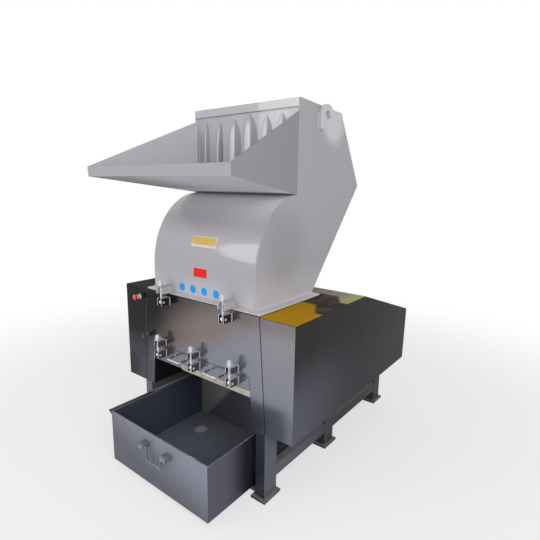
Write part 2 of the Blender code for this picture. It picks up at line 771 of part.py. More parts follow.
def build_hopper():
    outline = belly_line() + [(y_at(MOUTH), CROWN_Z)] + back_line()[1:]
    for side, name in ((-1, "hopper_left_side"), (1, "hopper_right_side")):
        span = sorted((side * (HOPPER_HALF_WIDTH - HOPPER_SHEET), side * HOPPER_HALF_WIDTH))
        flat_outline(name, outline, "X", *span, ENAMEL)

    inner_half = HOPPER_HALF_WIDTH - HOPPER_SHEET - GAP
    folded_sheet("hopper_belly", belly_line(), inner_half, HOPPER_SHEET, ENAMEL)
    folded_sheet("hopper_back", back_line(), inner_half, HOPPER_SHEET, ENAMEL)
    box(
        "hopper_header",
        (-inner_half, y_at(MOUTH), CROWN_Z - HEADER_HEIGHT),
        (inner_half, y_at(MOUTH + HOPPER_SHEET), CROWN_Z),
        ENAMEL,
    )

    flange = box(
        "hopper_flange",
        (-SEAM_TOP_X, y_at(FLANGE_FRONT), TOP_Z + GAP),
        (SEAM_TOP_X, y_at(FLANGE_REAR), FLANGE_TOP_Z),
        ENAMEL,
    )
    throat = box(
        "flange_throat",
        (-inner_half, y_at(HOPPER_FRONT + HOPPER_SHEET), TOP_Z - FLANGE_THICK),
        (inner_half, y_at(BACK_FOOT - 2 * HOPPER_SHEET), FLANGE_TOP_Z + FLANGE_THICK),
        ENAMEL,
    )
    boolean(flange, throat, "DIFFERENCE")
    round_edges(flange, 0.002, 1)


def build_tray():
    """Floor, two flaring wings and the upturned front lip, folded from one sheet."""
    rear_y = y_at(MOUTH - TRAY_SEAT)
    front_y = y_at(MOUTH - TRAY_REACH)
    rear_x = HOPPER_HALF_WIDTH
    front_x = rear_x + TRAY_FRONT_WIDER
    lip_foot_z = BELLY_TOP_Z + TRAY_LIP_RISE
    mesh = bpy.data.meshes.new("feed_tray")
    shape = bmesh.new()
    corners = []
    for side in (-1, 1):
        corners.append(
            [
                shape.verts.new((side * rear_x, rear_y, BELLY_TOP_Z + GAP)),
                shape.verts.new((side * front_x, front_y, lip_foot_z)),
                shape.verts.new((side * front_x, front_y - TRAY_LIP_LEAN, lip_foot_z + TRAY_LIP_HEIGHT)),
                shape.verts.new((side * rear_x, rear_y, CROWN_Z - TRAY_WING_DROP)),
            ]
        )
    left, right = corners
    floor = shape.faces.new((left[0], left[1], right[1], right[0]))
    shape.faces.new((left[1], left[2], right[2], right[1]))
    shape.faces.new(left)
    shape.faces.new(right)
    bmesh.ops.recalc_face_normals(shape, faces=shape.faces)
    if floor.normal.z > 0:
        bmesh.ops.reverse_faces(shape, faces=shape.faces)
    shape.to_mesh(mesh)
    shape.free()
    tray = new_part("feed_tray", mesh, ENAMEL)
    thicken(tray, TRAY_SHEET)


def build_curtain():
    """Vinyl strips clamped behind the header, flat at the clamp and bulging lower down."""
    half = HOPPER_HALF_WIDTH - HOPPER_SHEET - SLIDE_PLAY
    clamp_y = y_at(MOUTH + HOPPER_SHEET + GAP)
    plane_y = clamp_y + CLAMP_DEPTH / 2
    header_foot = CROWN_Z - HEADER_HEIGHT
    clamp_foot = header_foot + CLAMP_INSET
    clamp_top = CROWN_Z - HOPPER_SHEET - CLAMP_INSET
    bottom_z = BELLY_TOP_Z + CURTAIN_CLEAR
    columns = CURTAIN_STRIPS * 6
    pitch = 2 * half / CURTAIN_STRIPS
    rows = 6
    mesh = bpy.data.meshes.new("strip_curtain")
    shape = bmesh.new()
    bmesh.ops.create_grid(shape, x_segments=columns, y_segments=rows, size=0.5)
    for vertex in shape.verts:
        x = vertex.co.x * 2 * half
        row = round((0.5 - vertex.co.y) * rows)
        hang = max(0, row - 1) / (rows - 1)
        z = clamp_top - CLAMP_INSET if row == 0 else header_foot + (bottom_z - header_foot) * hang
        wave = abs(sin(pi * (x / pitch + CURTAIN_SHIFT)))
        out = CURTAIN_BULGE * min(1.0, 2 * hang) * wave
        vertex.co = (x, plane_y - out, z)
    shape.to_mesh(mesh)
    shape.free()
    curtain = new_part("strip_curtain", mesh, VINYL)
    thicken(curtain, CURTAIN_THICK, 0.0)
    shade_round(curtain)
    bar = box(
        "curtain_clamp", (-half, clamp_y, clamp_foot), (half, clamp_y + CLAMP_DEPTH, clamp_top), VINYL
    )
    boolean(curtain, bar, "UNION")


def build_hooks():
    """A flat hook on each side plate: a leg whose top curls over to the rear and ends in a tip."""
    eye = HOOK_OUTER - HOOK_BAR
    middle_y = y_at(HOOK_CENTRE)
    middle_z = CROWN_Z - HOOK_DROP
    eye_z = middle_z + HOOK_EYE_RISE
    outline = [
        (middle_y - HOOK_OUTER, middle_z - HOOK_LEG),
        (middle_y - HOOK_OUTER + HOOK_SLANT, middle_z - HOOK_LEG),
        (middle_y - eye, middle_z - HOOK_LEG + HOOK_SLANT),
    ]
    steps = 10
    for step in range(steps + 1):
        angle = pi - step * pi / steps
        outline.append((middle_y + eye * cos(angle), eye_z + eye * sin(angle)))
    outline.append((middle_y + eye, middle_z + HOOK_TIP))
    start = asin((HOOK_TIP + HOOK_SLANT) / HOOK_OUTER)
    for step in range(steps + 1):
        angle = start + step * (pi - start) / steps
        outline.append((middle_y + HOOK_OUTER * cos(angle), middle_z + HOOK_OUTER * sin(angle)))
    for side, name in ((-1, "lifting_hook_left"), (1, "lifting_hook_right")):
        near = HOPPER_HALF_WIDTH + GAP
        span = sorted((side * near, side * (near + HOOK_THICK)))
        hook = flat_outline(name, outline, "X", *span, ENAMEL)
        round_edges(hook, SMALL_ROUND, 1)


def slotted_channel(name, x, face_y, top_z, height, width, bolt_radius, material):
    """An upside-down channel standing off a face, its top plate slotted from the front for a bolt."""
    half = width / 2
    gap = half - EAR_THICK
    bottom_z = top_z - height
    front_y = y_at(-BRACKET_DEPTH)
    outline = [
        (x - half, bottom_z),
        (x - half, top_z),
        (x + half, top_z),
        (x + half, bottom_z),
        (x + gap, bottom_z),
        (x + gap, top_z - EAR_THICK),
        (x - gap, top_z - EAR_THICK),
        (x - gap, bottom_z),
    ]
    channel = flat_outline(name, outline, "Y", front_y, face_y, material)
    slot_back = y_at(-PIVOT_OUT)
    slot_half = bolt_radius + SLOT_PLAY
    slot = [(x - slot_half, front_y - BRACKET_DEPTH), (x + slot_half, front_y - BRACKET_DEPTH)]
    for step in range(9):
        angle = step * pi / 8
        slot.append((x + slot_half * cos(angle), slot_back + slot_half * sin(angle)))
    cut = flat_outline(name + "_slot", slot, "Z", top_z - 2 * EAR_THICK, top_z + EAR_THICK, material)
    boolean(channel, cut, "DIFFERENCE")
    return channel


def build_bracket(name, x, top_z, height, bolt_radius):
    """A channel on its own back plate, which is a little wider and lies on the front of the base."""
    face_y = y_at(-BRACKET_PLATE / 2)
    bracket = slotted_channel(name, x, face_y, top_z, height, BRACKET_WIDTH, bolt_radius, BRACKET_PAINT)
    half = BRACKET_WIDTH / 2 + PLATE_MARGIN
    plate = box(
        name + "_plate",
        (x - half, y_at(-BRACKET_PLATE), top_z - height),
        (x + half, y_at(-GAP), top_z),
        BRACKET_PAINT,
    )
    boolean(bracket, plate, "UNION")
    return bracket


def build_clevis(name, x, top_z, bolt_radius):
    """A bracket with the cross pin that the swing bolt turns on."""
    clevis = build_bracket(name, x, top_z, CLEVIS_HEIGHT, bolt_radius)
    reach = BRACKET_WIDTH / 2 + PIN_STICK_OUT
    pin_y = y_at(-PIVOT_OUT)
    pin_z = top_z - PIVOT_DROP
    pin = cylinder(
        name + "_pin", PIN_RADIUS, (x - reach, pin_y, pin_z), (x + reach, pin_y, pin_z), BRACKET_PAINT, 12
    )
    boolean(clevis, pin, "UNION")


def build_lug(name, x):
    """The hopper's own catch, standing on the front of its flange."""
    back_y = y_at(HOPPER_FRONT - GAP)
    height = LUG_RISE - GAP
    lug = slotted_channel(
        name, x, back_y, FLANGE_TOP_Z + LUG_RISE, height, LUG_WIDTH, UPPER_BOLT_RADIUS, ENAMEL
    )
    round_edges(lug, SMALL_ROUND, 1)


def build_swing_bolt(name, x, pivot_z, seat_z, radius, across):
    """Eye bolt hinged on its pin, with a washer and a domed nut that clamps on the seat."""
    pin_y = y_at(-PIVOT_OUT)
    eye_radius = PIN_RADIUS + EYE_WALL
    corner = across / sqrt(3)
    rim = corner + WASHER_OVER
    seat = seat_z + SLIDE_PLAY
    nut_foot = seat + WASHER_THICK
    nut_top = nut_foot + NUT_HEIGHT
    dome = across * DOME_SHARE
    foot = pivot_z + eye_radius - EYE_LAP
    profile = [(0.0, foot), (radius, foot), (radius, seat), (rim, seat), (rim, nut_foot), (dome, nut_foot)]
    for step in range(5):
        angle = step * (pi / 2) / 4
        profile.append((dome * cos(angle), nut_top + DOME_HEIGHT * sin(angle)))
    profile[-1] = (0.0, nut_top + DOME_HEIGHT)
    bolt = turned(name, profile, (x, pin_y, 0.0), Matrix.Identity(4), ZINC, 14)
    eye = cylinder(
        name + "_eye",
        eye_radius,
        (x - EYE_WIDTH / 2, pin_y, pivot_z),
        (x + EYE_WIDTH / 2, pin_y, pivot_z),
        ZINC,
        18,
    )
    boolean(bolt, eye, "UNION")
    nut = cylinder(
        name + "_nut", corner, (x, pin_y, seat + WASHER_THICK / 2), (x, pin_y, nut_top), ZINC, 6
    )
    boolean(bolt, nut, "UNION")
    bore = cylinder(
        name + "_bore",
        PIN_RADIUS + ROD_PLAY,
        (x - EYE_WIDTH, pin_y, pivot_z),
        (x + EYE_WIDTH, pin_y, pivot_z),
        ZINC,
        12,
    )
    boolean(bolt, bore, "DIFFERENCE")
    set_origin(bolt, (x, pin_y, pivot_z))


def build_fasteners():
    clevis_z = TOP_Z - UPPER_CLEVIS_DROP
    seat_z = FLANGE_TOP_Z + LUG_RISE
    for x, word in zip(UPPER_BOLT_X, ("left", "right")):
        name = f"upper_swing_bolt_{word}"
        build_clevis(f"upper_clevis_{word}", x, clevis_z, UPPER_BOLT_RADIUS)
        build_lug(f"hopper_lug_{word}", x)
        build_swing_bolt(name, x, clevis_z - PIVOT_DROP, seat_z, UPPER_BOLT_RADIUS, UPPER_NUT_ACROSS)
    clevis_z = PANEL_BOTTOM_Z - LOWER_CLEVIS_DROP
    seat_z = PANEL_BOTTOM_Z + CATCH_RISE
    for x, word in zip(LOWER_BOLT_X, ("left", "middle", "right")):
        name = f"lower_swing_bolt_{word}"
        build_clevis(f"lower_clevis_{word}", x, clevis_z, LOWER_BOLT_RADIUS)
        build_bracket(f"door_catch_{word}", x, seat_z, CATCH_HEIGHT, LOWER_BOLT_RADIUS)
        build_swing_bolt(name, x, clevis_z - PIVOT_DROP, seat_z, LOWER_BOLT_RADIUS, LOWER_NUT_ACROSS)


def build_door_handles():
    handle_z = DOOR_TOP_Z - DOOR_HANDLE_DROP
    turn = DOOR_HANDLE_BEND
    for x, word in zip(DOOR_HANDLE_X, ("left", "right")):
        route = [(x - DOOR_HANDLE_HALF, y_at(-GAP), handle_z)]
        for side, start in ((-1, pi), (1, 1.5 * pi)):
            middle_x = x + side * (DOOR_HANDLE_HALF - turn)
            for step in range(5):
                angle = start + step * (pi / 2) / 4
                route.append(
                    (
                        middle_x + turn * cos(angle),
                        y_at(turn - DOOR_HANDLE_OUT) + turn * sin(angle),
                        handle_z,
                    )
                )
        route.append((x + DOOR_HANDLE_HALF, y_at(-GAP), handle_z))
        rod(f"door_handle_{word}", route, DOOR_HANDLE_ROD, STEEL, 2)


FACING_FRONT = Matrix.Rotation(pi / 2, 4, "X")


def build_stop_button():
    stop_z = TOP_Z - STOP_DROP
    spot = (-seam_x(stop_z) - STOP_FROM_SEAM, y_at(-GAP), stop_z)
    socket = STOP_STEM + STOP_STEM_PLAY
    profile = [
        (0.0, 0.0),
        (STOP_BASE, 0.0),
        (STOP_BASE, STOP_BASE_THICK),
        (STOP_COLLAR, STOP_BASE_THICK + STOP_BASE - STOP_COLLAR),
        (STOP_COLLAR, STOP_COLLAR_OUT),
        (socket, STOP_COLLAR_OUT),
        (socket, STOP_COLLAR_OUT - STOP_SOCKET),
        (0.0, STOP_COLLAR_OUT - STOP_SOCKET),
    ]
    turned("stop_collar", profile, spot, FACING_FRONT, PALE)
    back = STOP_COLLAR_OUT + STOP_TRAVEL + GAP
    stem_end = STOP_COLLAR_OUT - STOP_SOCKET + STOP_TRAVEL + 5 * GAP
    head = [
        (0.0, stem_end),
        (STOP_STEM, stem_end),
        (STOP_STEM, back),
        (STOP_HEAD * 0.9, back),
        (STOP_HEAD, back + STOP_HEAD_THICK * 0.2),
        (STOP_HEAD, back + STOP_HEAD_THICK * 0.55),
        (STOP_HEAD * 0.75, back + STOP_HEAD_THICK * 0.9),
        (0.0, back + STOP_HEAD_THICK),
    ]
    button = turned("stop_button", head, spot, FACING_FRONT, RED)
    set_origin(button, spot)


def build_latch():
    latch_z = PANEL_BOTTOM_Z + LATCH_RISE
    latch_x = -seam_x(latch_z) + LATCH_FROM_SEAM
    spot = (latch_x, y_at(-GAP), latch_z)
    boss = [(0.0, 0.0), (LATCH_BOSS, 0.0), (LATCH_BOSS, LATCH_BOSS_OUT * 0.7)]
    boss += [(LATCH_BOSS * 0.8, LATCH_BOSS_OUT), (0.0, LATCH_BOSS_OUT)]
    turned("latch_boss", boss, spot, FACING_FRONT, PALE)
    start = LATCH_BOSS_OUT + GAP
    end = LATCH_OUT - LATCH_GRIP_THICK / 2
    stem = [(0.0, start), (LATCH_STEM, start), (LATCH_STEM, end), (0.0, end)]
    knob = turned("latch_knob", stem, spot, FACING_FRONT, STEEL, 12)
    half_width = LATCH_GRIP_WIDTH / 2
    half_length = LATCH_GRIP_LENGTH / 2
    grip = box(
        "latch_grip",
        (latch_x - half_width, y_at(-LATCH_OUT), latch_z - half_length),
        (latch_x + half_width, y_at(LATCH_GRIP_THICK - LATCH_OUT), latch_z + half_length),
        STEEL,
    )
    boolean(knob, grip, "UNION")
    set_origin(knob, spot)


build_base()
build_door()
build_side_frame("left_side_frame", -1)
build_side_frame("right_side_frame", 1)
build_cross_beam()
build_bin_skirts()
build_bin()
build_hopper()
build_tray()
build_curtain()
build_hooks()
build_fasteners()
build_door_handles()
build_stop_button()
build_latch()
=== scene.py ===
import json
from math import acos, cos, exp, pi, radians, sin, sqrt

import bmesh
import bpy
from mathutils import Matrix, Vector

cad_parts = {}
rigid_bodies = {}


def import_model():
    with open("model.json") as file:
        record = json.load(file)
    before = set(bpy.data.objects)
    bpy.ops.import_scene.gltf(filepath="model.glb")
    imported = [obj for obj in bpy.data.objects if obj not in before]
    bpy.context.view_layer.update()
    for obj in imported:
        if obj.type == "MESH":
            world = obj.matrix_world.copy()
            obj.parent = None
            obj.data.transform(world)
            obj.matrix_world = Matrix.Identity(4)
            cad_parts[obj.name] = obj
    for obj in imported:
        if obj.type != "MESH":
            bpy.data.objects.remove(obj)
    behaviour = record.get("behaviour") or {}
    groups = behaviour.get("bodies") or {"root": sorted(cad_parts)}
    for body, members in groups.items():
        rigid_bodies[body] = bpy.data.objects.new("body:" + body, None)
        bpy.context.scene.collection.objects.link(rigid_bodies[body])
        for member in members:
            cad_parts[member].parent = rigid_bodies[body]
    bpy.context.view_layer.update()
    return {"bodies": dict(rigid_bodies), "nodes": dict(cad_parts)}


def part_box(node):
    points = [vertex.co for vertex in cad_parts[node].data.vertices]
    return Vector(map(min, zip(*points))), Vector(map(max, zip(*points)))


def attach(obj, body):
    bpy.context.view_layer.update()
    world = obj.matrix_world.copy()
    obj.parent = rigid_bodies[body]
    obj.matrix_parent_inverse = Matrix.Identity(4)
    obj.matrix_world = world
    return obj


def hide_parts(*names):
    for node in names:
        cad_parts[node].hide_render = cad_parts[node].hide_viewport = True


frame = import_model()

kept = set(frame["nodes"].values()) | set(frame["bodies"].values())
for old in list(bpy.data.objects):
    if old not in kept:
        bpy.data.objects.remove(old)

front_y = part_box("front_panel")[0].y
top_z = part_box("chamber_body")[1].z


# Side frames. Six legs of rectangular tube on foot plates, tied by a low beam along each side and
# one across the back, with a skirt plate above the bin's rim on each side. Mild steel, fillet
# welded, sprayed in dark graphite enamel and left dusty on everything that faces up, with painted
# light on those faces and painted reflection and shade on the rest.
class Reading:
    """A number read off a surface. Sums written with it become Math nodes."""

    def __init__(self, finish, socket):
        self.finish = finish
        self.socket = socket

    def maths(self, operation, *terms):
        return self.finish.node("ShaderNodeMath", {"operation": operation}, dict(enumerate(terms)))

    def __add__(self, other):
        return self.maths("ADD", self, other)

    __radd__ = __add__

    def __sub__(self, other):
        return self.maths("SUBTRACT", self, other)

    def __rsub__(self, other):
        return self.maths("SUBTRACT", other, self)

    def __mul__(self, other):
        return self.maths("MULTIPLY", self, other)

    __rmul__ = __mul__

    def __abs__(self):
        return self.maths("ABSOLUTE", self)

    def rise(self, low, high):
        """0 below the first value, 1 above the second, and a soft step between them."""
        return self.finish.node(
            "ShaderNodeMapRange",
            {"interpolation_type": "SMOOTHSTEP"},
            {"Value": self, "From Min": low, "From Max": high},
        )

    def fall(self, low, high):
        return 1 - self.rise(low, high)


class Finish:
    """One surface finish: a shader with its plain values, and what varies over the piece."""

    def __init__(self, name, values):
        self.material = bpy.data.materials.new(name)
        self.material.use_nodes = True
        self.tree = self.material.node_tree
        self.shader = self.tree.nodes["Principled BSDF"]
        self.give(values)
        self.place = self.node("ShaderNodeTexCoord", output=3)
        self.x, self.y, self.z = (self.part_of(self.place, axis) for axis in range(3))

    def node(self, kind, settings=None, sockets=None, output=0):
        made = self.tree.nodes.new(kind)
        for name, value in (settings or {}).items():
            setattr(made, name, value)
        for name, value in (sockets or {}).items():
            self.feed(made.inputs[name], value)
        return Reading(self, made.outputs[output])

    def part_of(self, place, axis):
        return self.node("ShaderNodeSeparateXYZ", sockets={0: place}, output=axis)

    def feed(self, socket, value):
        if isinstance(value, Reading):
            self.tree.links.new(value.socket, socket)
        else:
            socket.default_value = value

    def give(self, values):
        for name, value in values.items():
            self.feed(self.shader.inputs[name], value)

    def grain(self, scale, detail=4.0, stretch=(1, 1, 1)):
        """Cloudy variation, 0 to 1, finer as the scale grows."""
        place = self.node("ShaderNodeVectorMath", {"operation": "MULTIPLY"}, {0: self.place, 1: stretch})
        values = {"Vector": place, "Scale": scale, "Detail": detail, "Roughness": 0.55}
        return self.node("ShaderNodeTexNoise", sockets=values)

    def facing(self, direction):
        """1 where the surface faces that way, falling to 0 as it turns square to it."""
        values = {0: self.node("ShaderNodeTexCoord", output=1), 1: direction}
        return self.node("ShaderNodeVectorMath", {"operation": "DOT_PRODUCT"}, values, output=1)

    def mix(self, share, under, over):
        return self.node("ShaderNodeMix", {"data_type": "RGBA"}, {0: share, 6: under, 7: over}, output=2)

    def layers(self, tone, *coats):
        """Lays coats over a tone, each a (mask, colour) pair that shows where its mask is 1."""
        for share, coat in coats:
            tone = self.mix(share, tone, coat)
        return tone

    def raise_surface(self, height, depth):
        values = {"Strength": 1.0, "Distance": depth, "Height": height}
        self.give({"Normal": self.node("ShaderNodeBump", sockets=values)})


def paint(red, green, blue):
    """A swatch colour, 0 to 255, as a shader takes it."""

    def plain(level):
        share = level / 255
        return share / 12.92 if share <= 0.04045 else ((share + 0.055) / 1.055) ** 2.4

    return (plain(red), plain(green), plain(blue), 1.0)


def round_edges(piece, radius, segments):
    rounding = piece.modifiers.new("rounded edges", "BEVEL")
    rounding.width = radius
    rounding.segments = segments
    rounding.limit_method = "ANGLE"
    rounding.angle_limit = radians(35)
    piece.modifiers.new("even shading", "WEIGHTED_NORMAL")


def dress(node, finish, edge=0.0):
    """Paints one solid of the frame, and softens its edges by a small radius."""
    part = frame["nodes"][node]
    for place in part.material_slots:
        place.material = finish.material
    if edge:
        weld = part.modifiers.new("weld", "WELD")
        weld.merge_threshold = 0.00001
        round_edges(part, edge, 2)


def made(name, shape, finish, slot, body, stands_for=(), edge=0.0, sharp=35):
    """Turns a worked mesh into a finished piece that rides on its body."""
    mesh = bpy.data.meshes.new(name)
    bmesh.ops.recalc_face_normals(shape, faces=shape.faces)
    shape.to_mesh(mesh)
    shape.free()
    mesh.materials.append(finish.material)
    mesh.shade_smooth()
    mesh.set_sharp_from_angle(angle=radians(sharp))
    piece = bpy.data.objects.new(name, mesh)
    bpy.context.scene.collection.objects.link(piece)
    if edge:
        round_edges(piece, edge, 3)
    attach(piece, body)
    if stands_for:
        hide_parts(*stands_for)


def wrap(shape, rings):
    """Joins a stack of rings of points with faces, and caps both ends."""
    for ring, ring_above in zip(rings, rings[1:]):
        for step in range(len(ring)):
            after = (step + 1) % len(ring)
            shape.faces.new((ring[step], ring[after], ring_above[after], ring_above[step]))
    shape.faces.new(list(reversed(rings[0])))
    shape.faces.new(rings[-1])


def arc(middle, reach, rise, start, end, steps):
    """Points along an arc about a middle, from one angle to another."""
    points = []
    for step in range(steps + 1):
        angle = start + step * (end - start) / steps
        points.append((middle[0] + reach * cos(angle), middle[1] + rise * sin(angle)))
    return points


def bead(shape, route, radius, closed=False):
    """Lays a run of weld: a low round bead with the ripples that the torch leaves."""
    ripple = 0.18
    spots = []
    ends = list(route) + ([route[0]] if closed else [])
    for start, end in zip(ends, ends[1:]):
        run = Vector(end) - Vector(start)
        count = max(2, round(run.length / (radius * 0.8)))
        spots += [Vector(start) + run * step / count for step in range(count)]
    spots.append(Vector(ends[-1]))
    sides = 8
    rings = []
    for step, spot in enumerate(spots):
        ahead = spots[min(step + 1, len(spots) - 1)] - spots[max(step - 1, 0)]
        turn = Vector((0, 0, 1)).rotation_difference(ahead).to_matrix()
        swell = radius * (1 + ripple * sin(step * 2.1) * cos(step * 0.37))
        ring = []
        for side in range(sides):
            angle = 2 * pi * side / sides
            outward = Vector((cos(angle), sin(angle), 0))
            ring.append(shape.verts.new(spot + turn @ (swell * outward)))
        rings.append(ring)
    wrap(shape, rings)


def plate(shape, outline, axis, low, high):
    """Adds a flat plate with that outline between two places along X or Y."""

    def spot(u, v, w):
        return (w, u, v) if axis == "X" else (u, w, v)

    wrap(shape, [[shape.verts.new(spot(u, v, w)) for u, v in outline] for w in (low, high)])


frame_enamel = Finish("frame_enamel", {"Roughness": 0.38, "Specular IOR Level": 0.12})
# Faces that turn up get a dust tone, also lightened as painted light against the shade under the guards.
dust_and_light = frame_enamel.facing((0, 0, 1)).rise(0.5, 0.9)
side_on = abs(frame_enamel.facing((1, 0, 0))).rise(0.4, 0.8)
behind = frame_enamel.y.rise(front_y + 0.15, front_y + 0.80)
cloud = frame_enamel.grain(7, 5)
# Painted reflection and shade: flanks lighter in front and dark behind, front faces lighter on the left
# legs than the right, faces inside the bay painted dark.
side_tone = frame_enamel.mix(behind, paint(92, 92, 104), paint(41, 42, 43))
front_tone = frame_enamel.mix(frame_enamel.x.rise(-0.1, 0.1), paint(104, 106, 118), paint(48, 51, 60))
dust_and_light_tone = frame_enamel.mix(cloud, paint(122, 113, 112), paint(160, 148, 144))
scuffed = frame_enamel.grain(46, 6).rise(0.60, 0.68) * frame_enamel.z.fall(0.02, 0.09)
leg_tone = frame_enamel.layers(
    front_tone,
    (side_on, side_tone),
    (abs(frame_enamel.x).fall(0.402, 0.408), paint(30, 29, 31)),
    (dust_and_light, dust_and_light_tone),
    (scuffed * 0.7, paint(138, 130, 128)),
)
frame_enamel.give({"Base Color": leg_tone, "Roughness": 0.34 + 0.3 * dust_and_light + 0.12 * cloud})
frame_enamel.raise_surface(frame_enamel.grain(60, 3), 0.0004)
for node in ("left_side_frame", "right_side_frame", "rear_cross_beam"):
    dress(node, frame_enamel, 0.003)

hands = ((-1, "left"), (1, "right"))
hem_drop = 0.011
hem_high = 0.014
for side, word in hands:
    name = f"{word}_bin_skirt"
    low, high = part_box(name)
    inner_x = side * min(abs(low.x), abs(high.x))
    skin = side * (high.x - low.x)
    foot_z = low.z - hem_drop
    hook_line = [(inner_x, high.z), (inner_x + skin, high.z), (inner_x + skin, foot_z + hem_high)]
    hook_line += [(inner_x + 2 * skin, foot_z + hem_high), (inner_x + 2 * skin, foot_z), (inner_x, foot_z)]
    skirt = bmesh.new()
    plate(skirt, hook_line, "Y", low.y, high.y)
    made(f"{word}_skirt_plate", skirt, frame_enamel, "black_enamel", "base", (name,), edge=0.0008)

leg_starts = (0.0, 0.592, 1.300)
leg_width = 0.058
leg_depth = 0.100
foot_thick = 0.012
foot_overhang = 0.017
leg_weld_radius = 0.0028
leg_outer_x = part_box("right_side_frame")[1].x - foot_overhang
welds = bmesh.new()
for side in (-1, 1):
    near_x = side * (leg_outer_x - leg_width)
    far_x = side * leg_outer_x
    for start in leg_starts:
        near_y = front_y + start
        far_y = near_y + leg_depth
        corners = ((near_x, near_y), (far_x, near_y), (far_x, far_y), (near_x, far_y))
        bead(welds, [(x, y, foot_thick) for x, y in corners], leg_weld_radius, closed=True)
made("leg_welds", welds, frame_enamel, "black_enamel", "base")


# Base. A welded box of 6 mm plate with a sheet guard down each side, all in glossy graphite enamel.
# Over the front the enamel carries a painted reflection in brown and blue-grey, and the flat deck
# carries a painted reflection in ochre in front that gives way to olive and khaki at the back.
def painted_front_reflection(finish):
    """The front faces' painted reflection: near black at the upper left, lighter to the right and below,
    with painted shade low on the guards.
    """
    mottle = finish.grain(5, 4) * 0.12 - 0.06
    lit = (finish.x - 0.80 * (finish.z - 0.70) + mottle).rise(-0.50, -0.02)
    lit = lit * finish.x.rise(-0.45, -0.42)
    height = finish.z + mottle
    brown = (finish.z - 0.5 * finish.x + mottle).rise(0.60, 0.80) * finish.x.fall(0.30, 0.52)
    neutral = height.rise(0.62, 0.80) * finish.x.rise(0.34, 0.52)
    pale = finish.layers(
        paint(136, 138, 151),
        (brown, paint(130, 117, 115)),
        (neutral, paint(143, 140, 146)),
        (height.rise(0.86, 0.96) * 0.45, paint(96, 88, 85)),
    )
    deep = finish.mix(height.fall(0.56, 0.74), paint(30, 29, 31), paint(62, 64, 74))
    tone = finish.mix(lit, deep, pale)
    across = finish.x + 0.5 * mottle
    left_shade = finish.mix(across.rise(-0.62, -0.45), paint(44, 46, 55), paint(80, 82, 93))
    right_shade = finish.mix(across.rise(0.43, 0.51), paint(94, 96, 108), paint(120, 123, 136))
    right_shade = finish.mix(finish.x.rise(0.53, 0.60), right_shade, paint(108, 111, 124))
    shade = finish.mix(finish.x.rise(-0.2, 0.2), left_shade, right_shade)
    return finish.mix(height.fall(0.45, 0.58) * 0.9, tone, shade)


seam_top_x = 0.4275
seam_foot_x = 0.4725
guard_foot_z = 0.375


def seam(finish, half_width, outward=0.0):
    """The open joint between body and guard, which leans outward towards the floor."""
    lean = (seam_foot_x - seam_top_x) / (top_z - guard_foot_z)
    line = seam_top_x + outward + lean * (top_z - finish.z)
    return abs(abs(finish.x) - line).fall(half_width * 0.5, half_width)


def side_shade(finish):
    """The guards' flanks: black above, blue-grey towards the floor and the front."""
    mottle = finish.grain(4, 4) * 0.08 - 0.04
    far = (finish.y + mottle).rise(front_y - 0.10, front_y + 0.70)
    blue = finish.mix(far, paint(84, 85, 98), paint(40, 43, 47))
    black = finish.mix(far, paint(39, 37, 36), paint(30, 30, 29))
    tone = finish.mix((finish.z + mottle).fall(0.50, 0.86), black, blue)
    return finish.mix(abs(finish.x).fall(0.405, 0.415), tone, paint(34, 32, 33))


def painted_deck_reflection(finish):
    """The painted reflection on the deck, in bands from the front edge to the bend."""
    depth = finish.y - front_y + (finish.grain(9, 4) * 0.06 - 0.03)
    outward = abs(finish.x).rise(0.51, 0.60)
    ochre = finish.mix(finish.grain(5, 4), paint(174, 130, 6), paint(188, 141, 8))
    olive = finish.mix(finish.grain(12, 4).rise(0.45, 0.62), paint(45, 44, 42), paint(74, 70, 46))
    khaki = finish.mix(finish.grain(10, 3), paint(172, 169, 112), paint(190, 187, 128))
    khaki = finish.mix(outward, paint(154, 149, 143), khaki)
    return finish.layers(
        ochre,
        ((depth + 0.14 * outward).rise(0.34, 0.38), olive),
        ((depth + 0.10 * outward).rise(0.57, 0.61), khaki),
        (depth.rise(0.70, 0.73), paint(50, 49, 48)),
        (finish.x.fall(-0.40, -0.38), paint(48, 45, 42)),
    )


def base_finish(name, with_deck_reflection):
    finish = Finish(name, {"Specular IOR Level": 0.08})
    ahead = finish.facing((0, -1, 0)).rise(0.94, 0.99)
    upward = finish.facing((0, 0, 1)).rise(0.75, 0.95)
    tone = finish.mix(ahead, side_shade(finish), painted_front_reflection(finish))
    if with_deck_reflection:
        tone = finish.mix(upward, tone, painted_deck_reflection(finish))
    specks = finish.grain(120, 2).rise(0.70, 0.76) * 0.35
    # A painted highlight: a thin light line beside the left seams, where the guard's rounded edge catches
    # the light.
    seam_edge_highlight = seam(finish, 0.0026, 0.0042) * finish.x.fall(-0.1, 0.0) * finish.z.rise(0.66, 0.74)
    tone = finish.layers(
        tone,
        (specks, paint(120, 118, 116)),
        (seam_edge_highlight * 0.6 * ahead, paint(112, 111, 116)),
        (seam(finish, 0.0022), paint(12, 12, 14)),
    )
    finish.give({"Base Color": tone})
    finish.give({"Metallic": 0.72 * ahead})
    finish.give({"Roughness": 0.40 - 0.26 * ahead + 0.3 * upward + 0.08 * finish.grain(14, 4)})
    finish.raise_surface(finish.grain(2.2, 2), 0.003)
    return finish


base_enamel = base_finish("base_enamel", True)
panel_enamel = base_finish("panel_enamel", False)
for node in ("chamber_body", "rear_housing"):
    dress(node, base_enamel, 0.001)
for node in ("left_guard", "right_guard"):
    dress(node, base_enamel)
dress("front_panel", panel_enamel, 0.001)


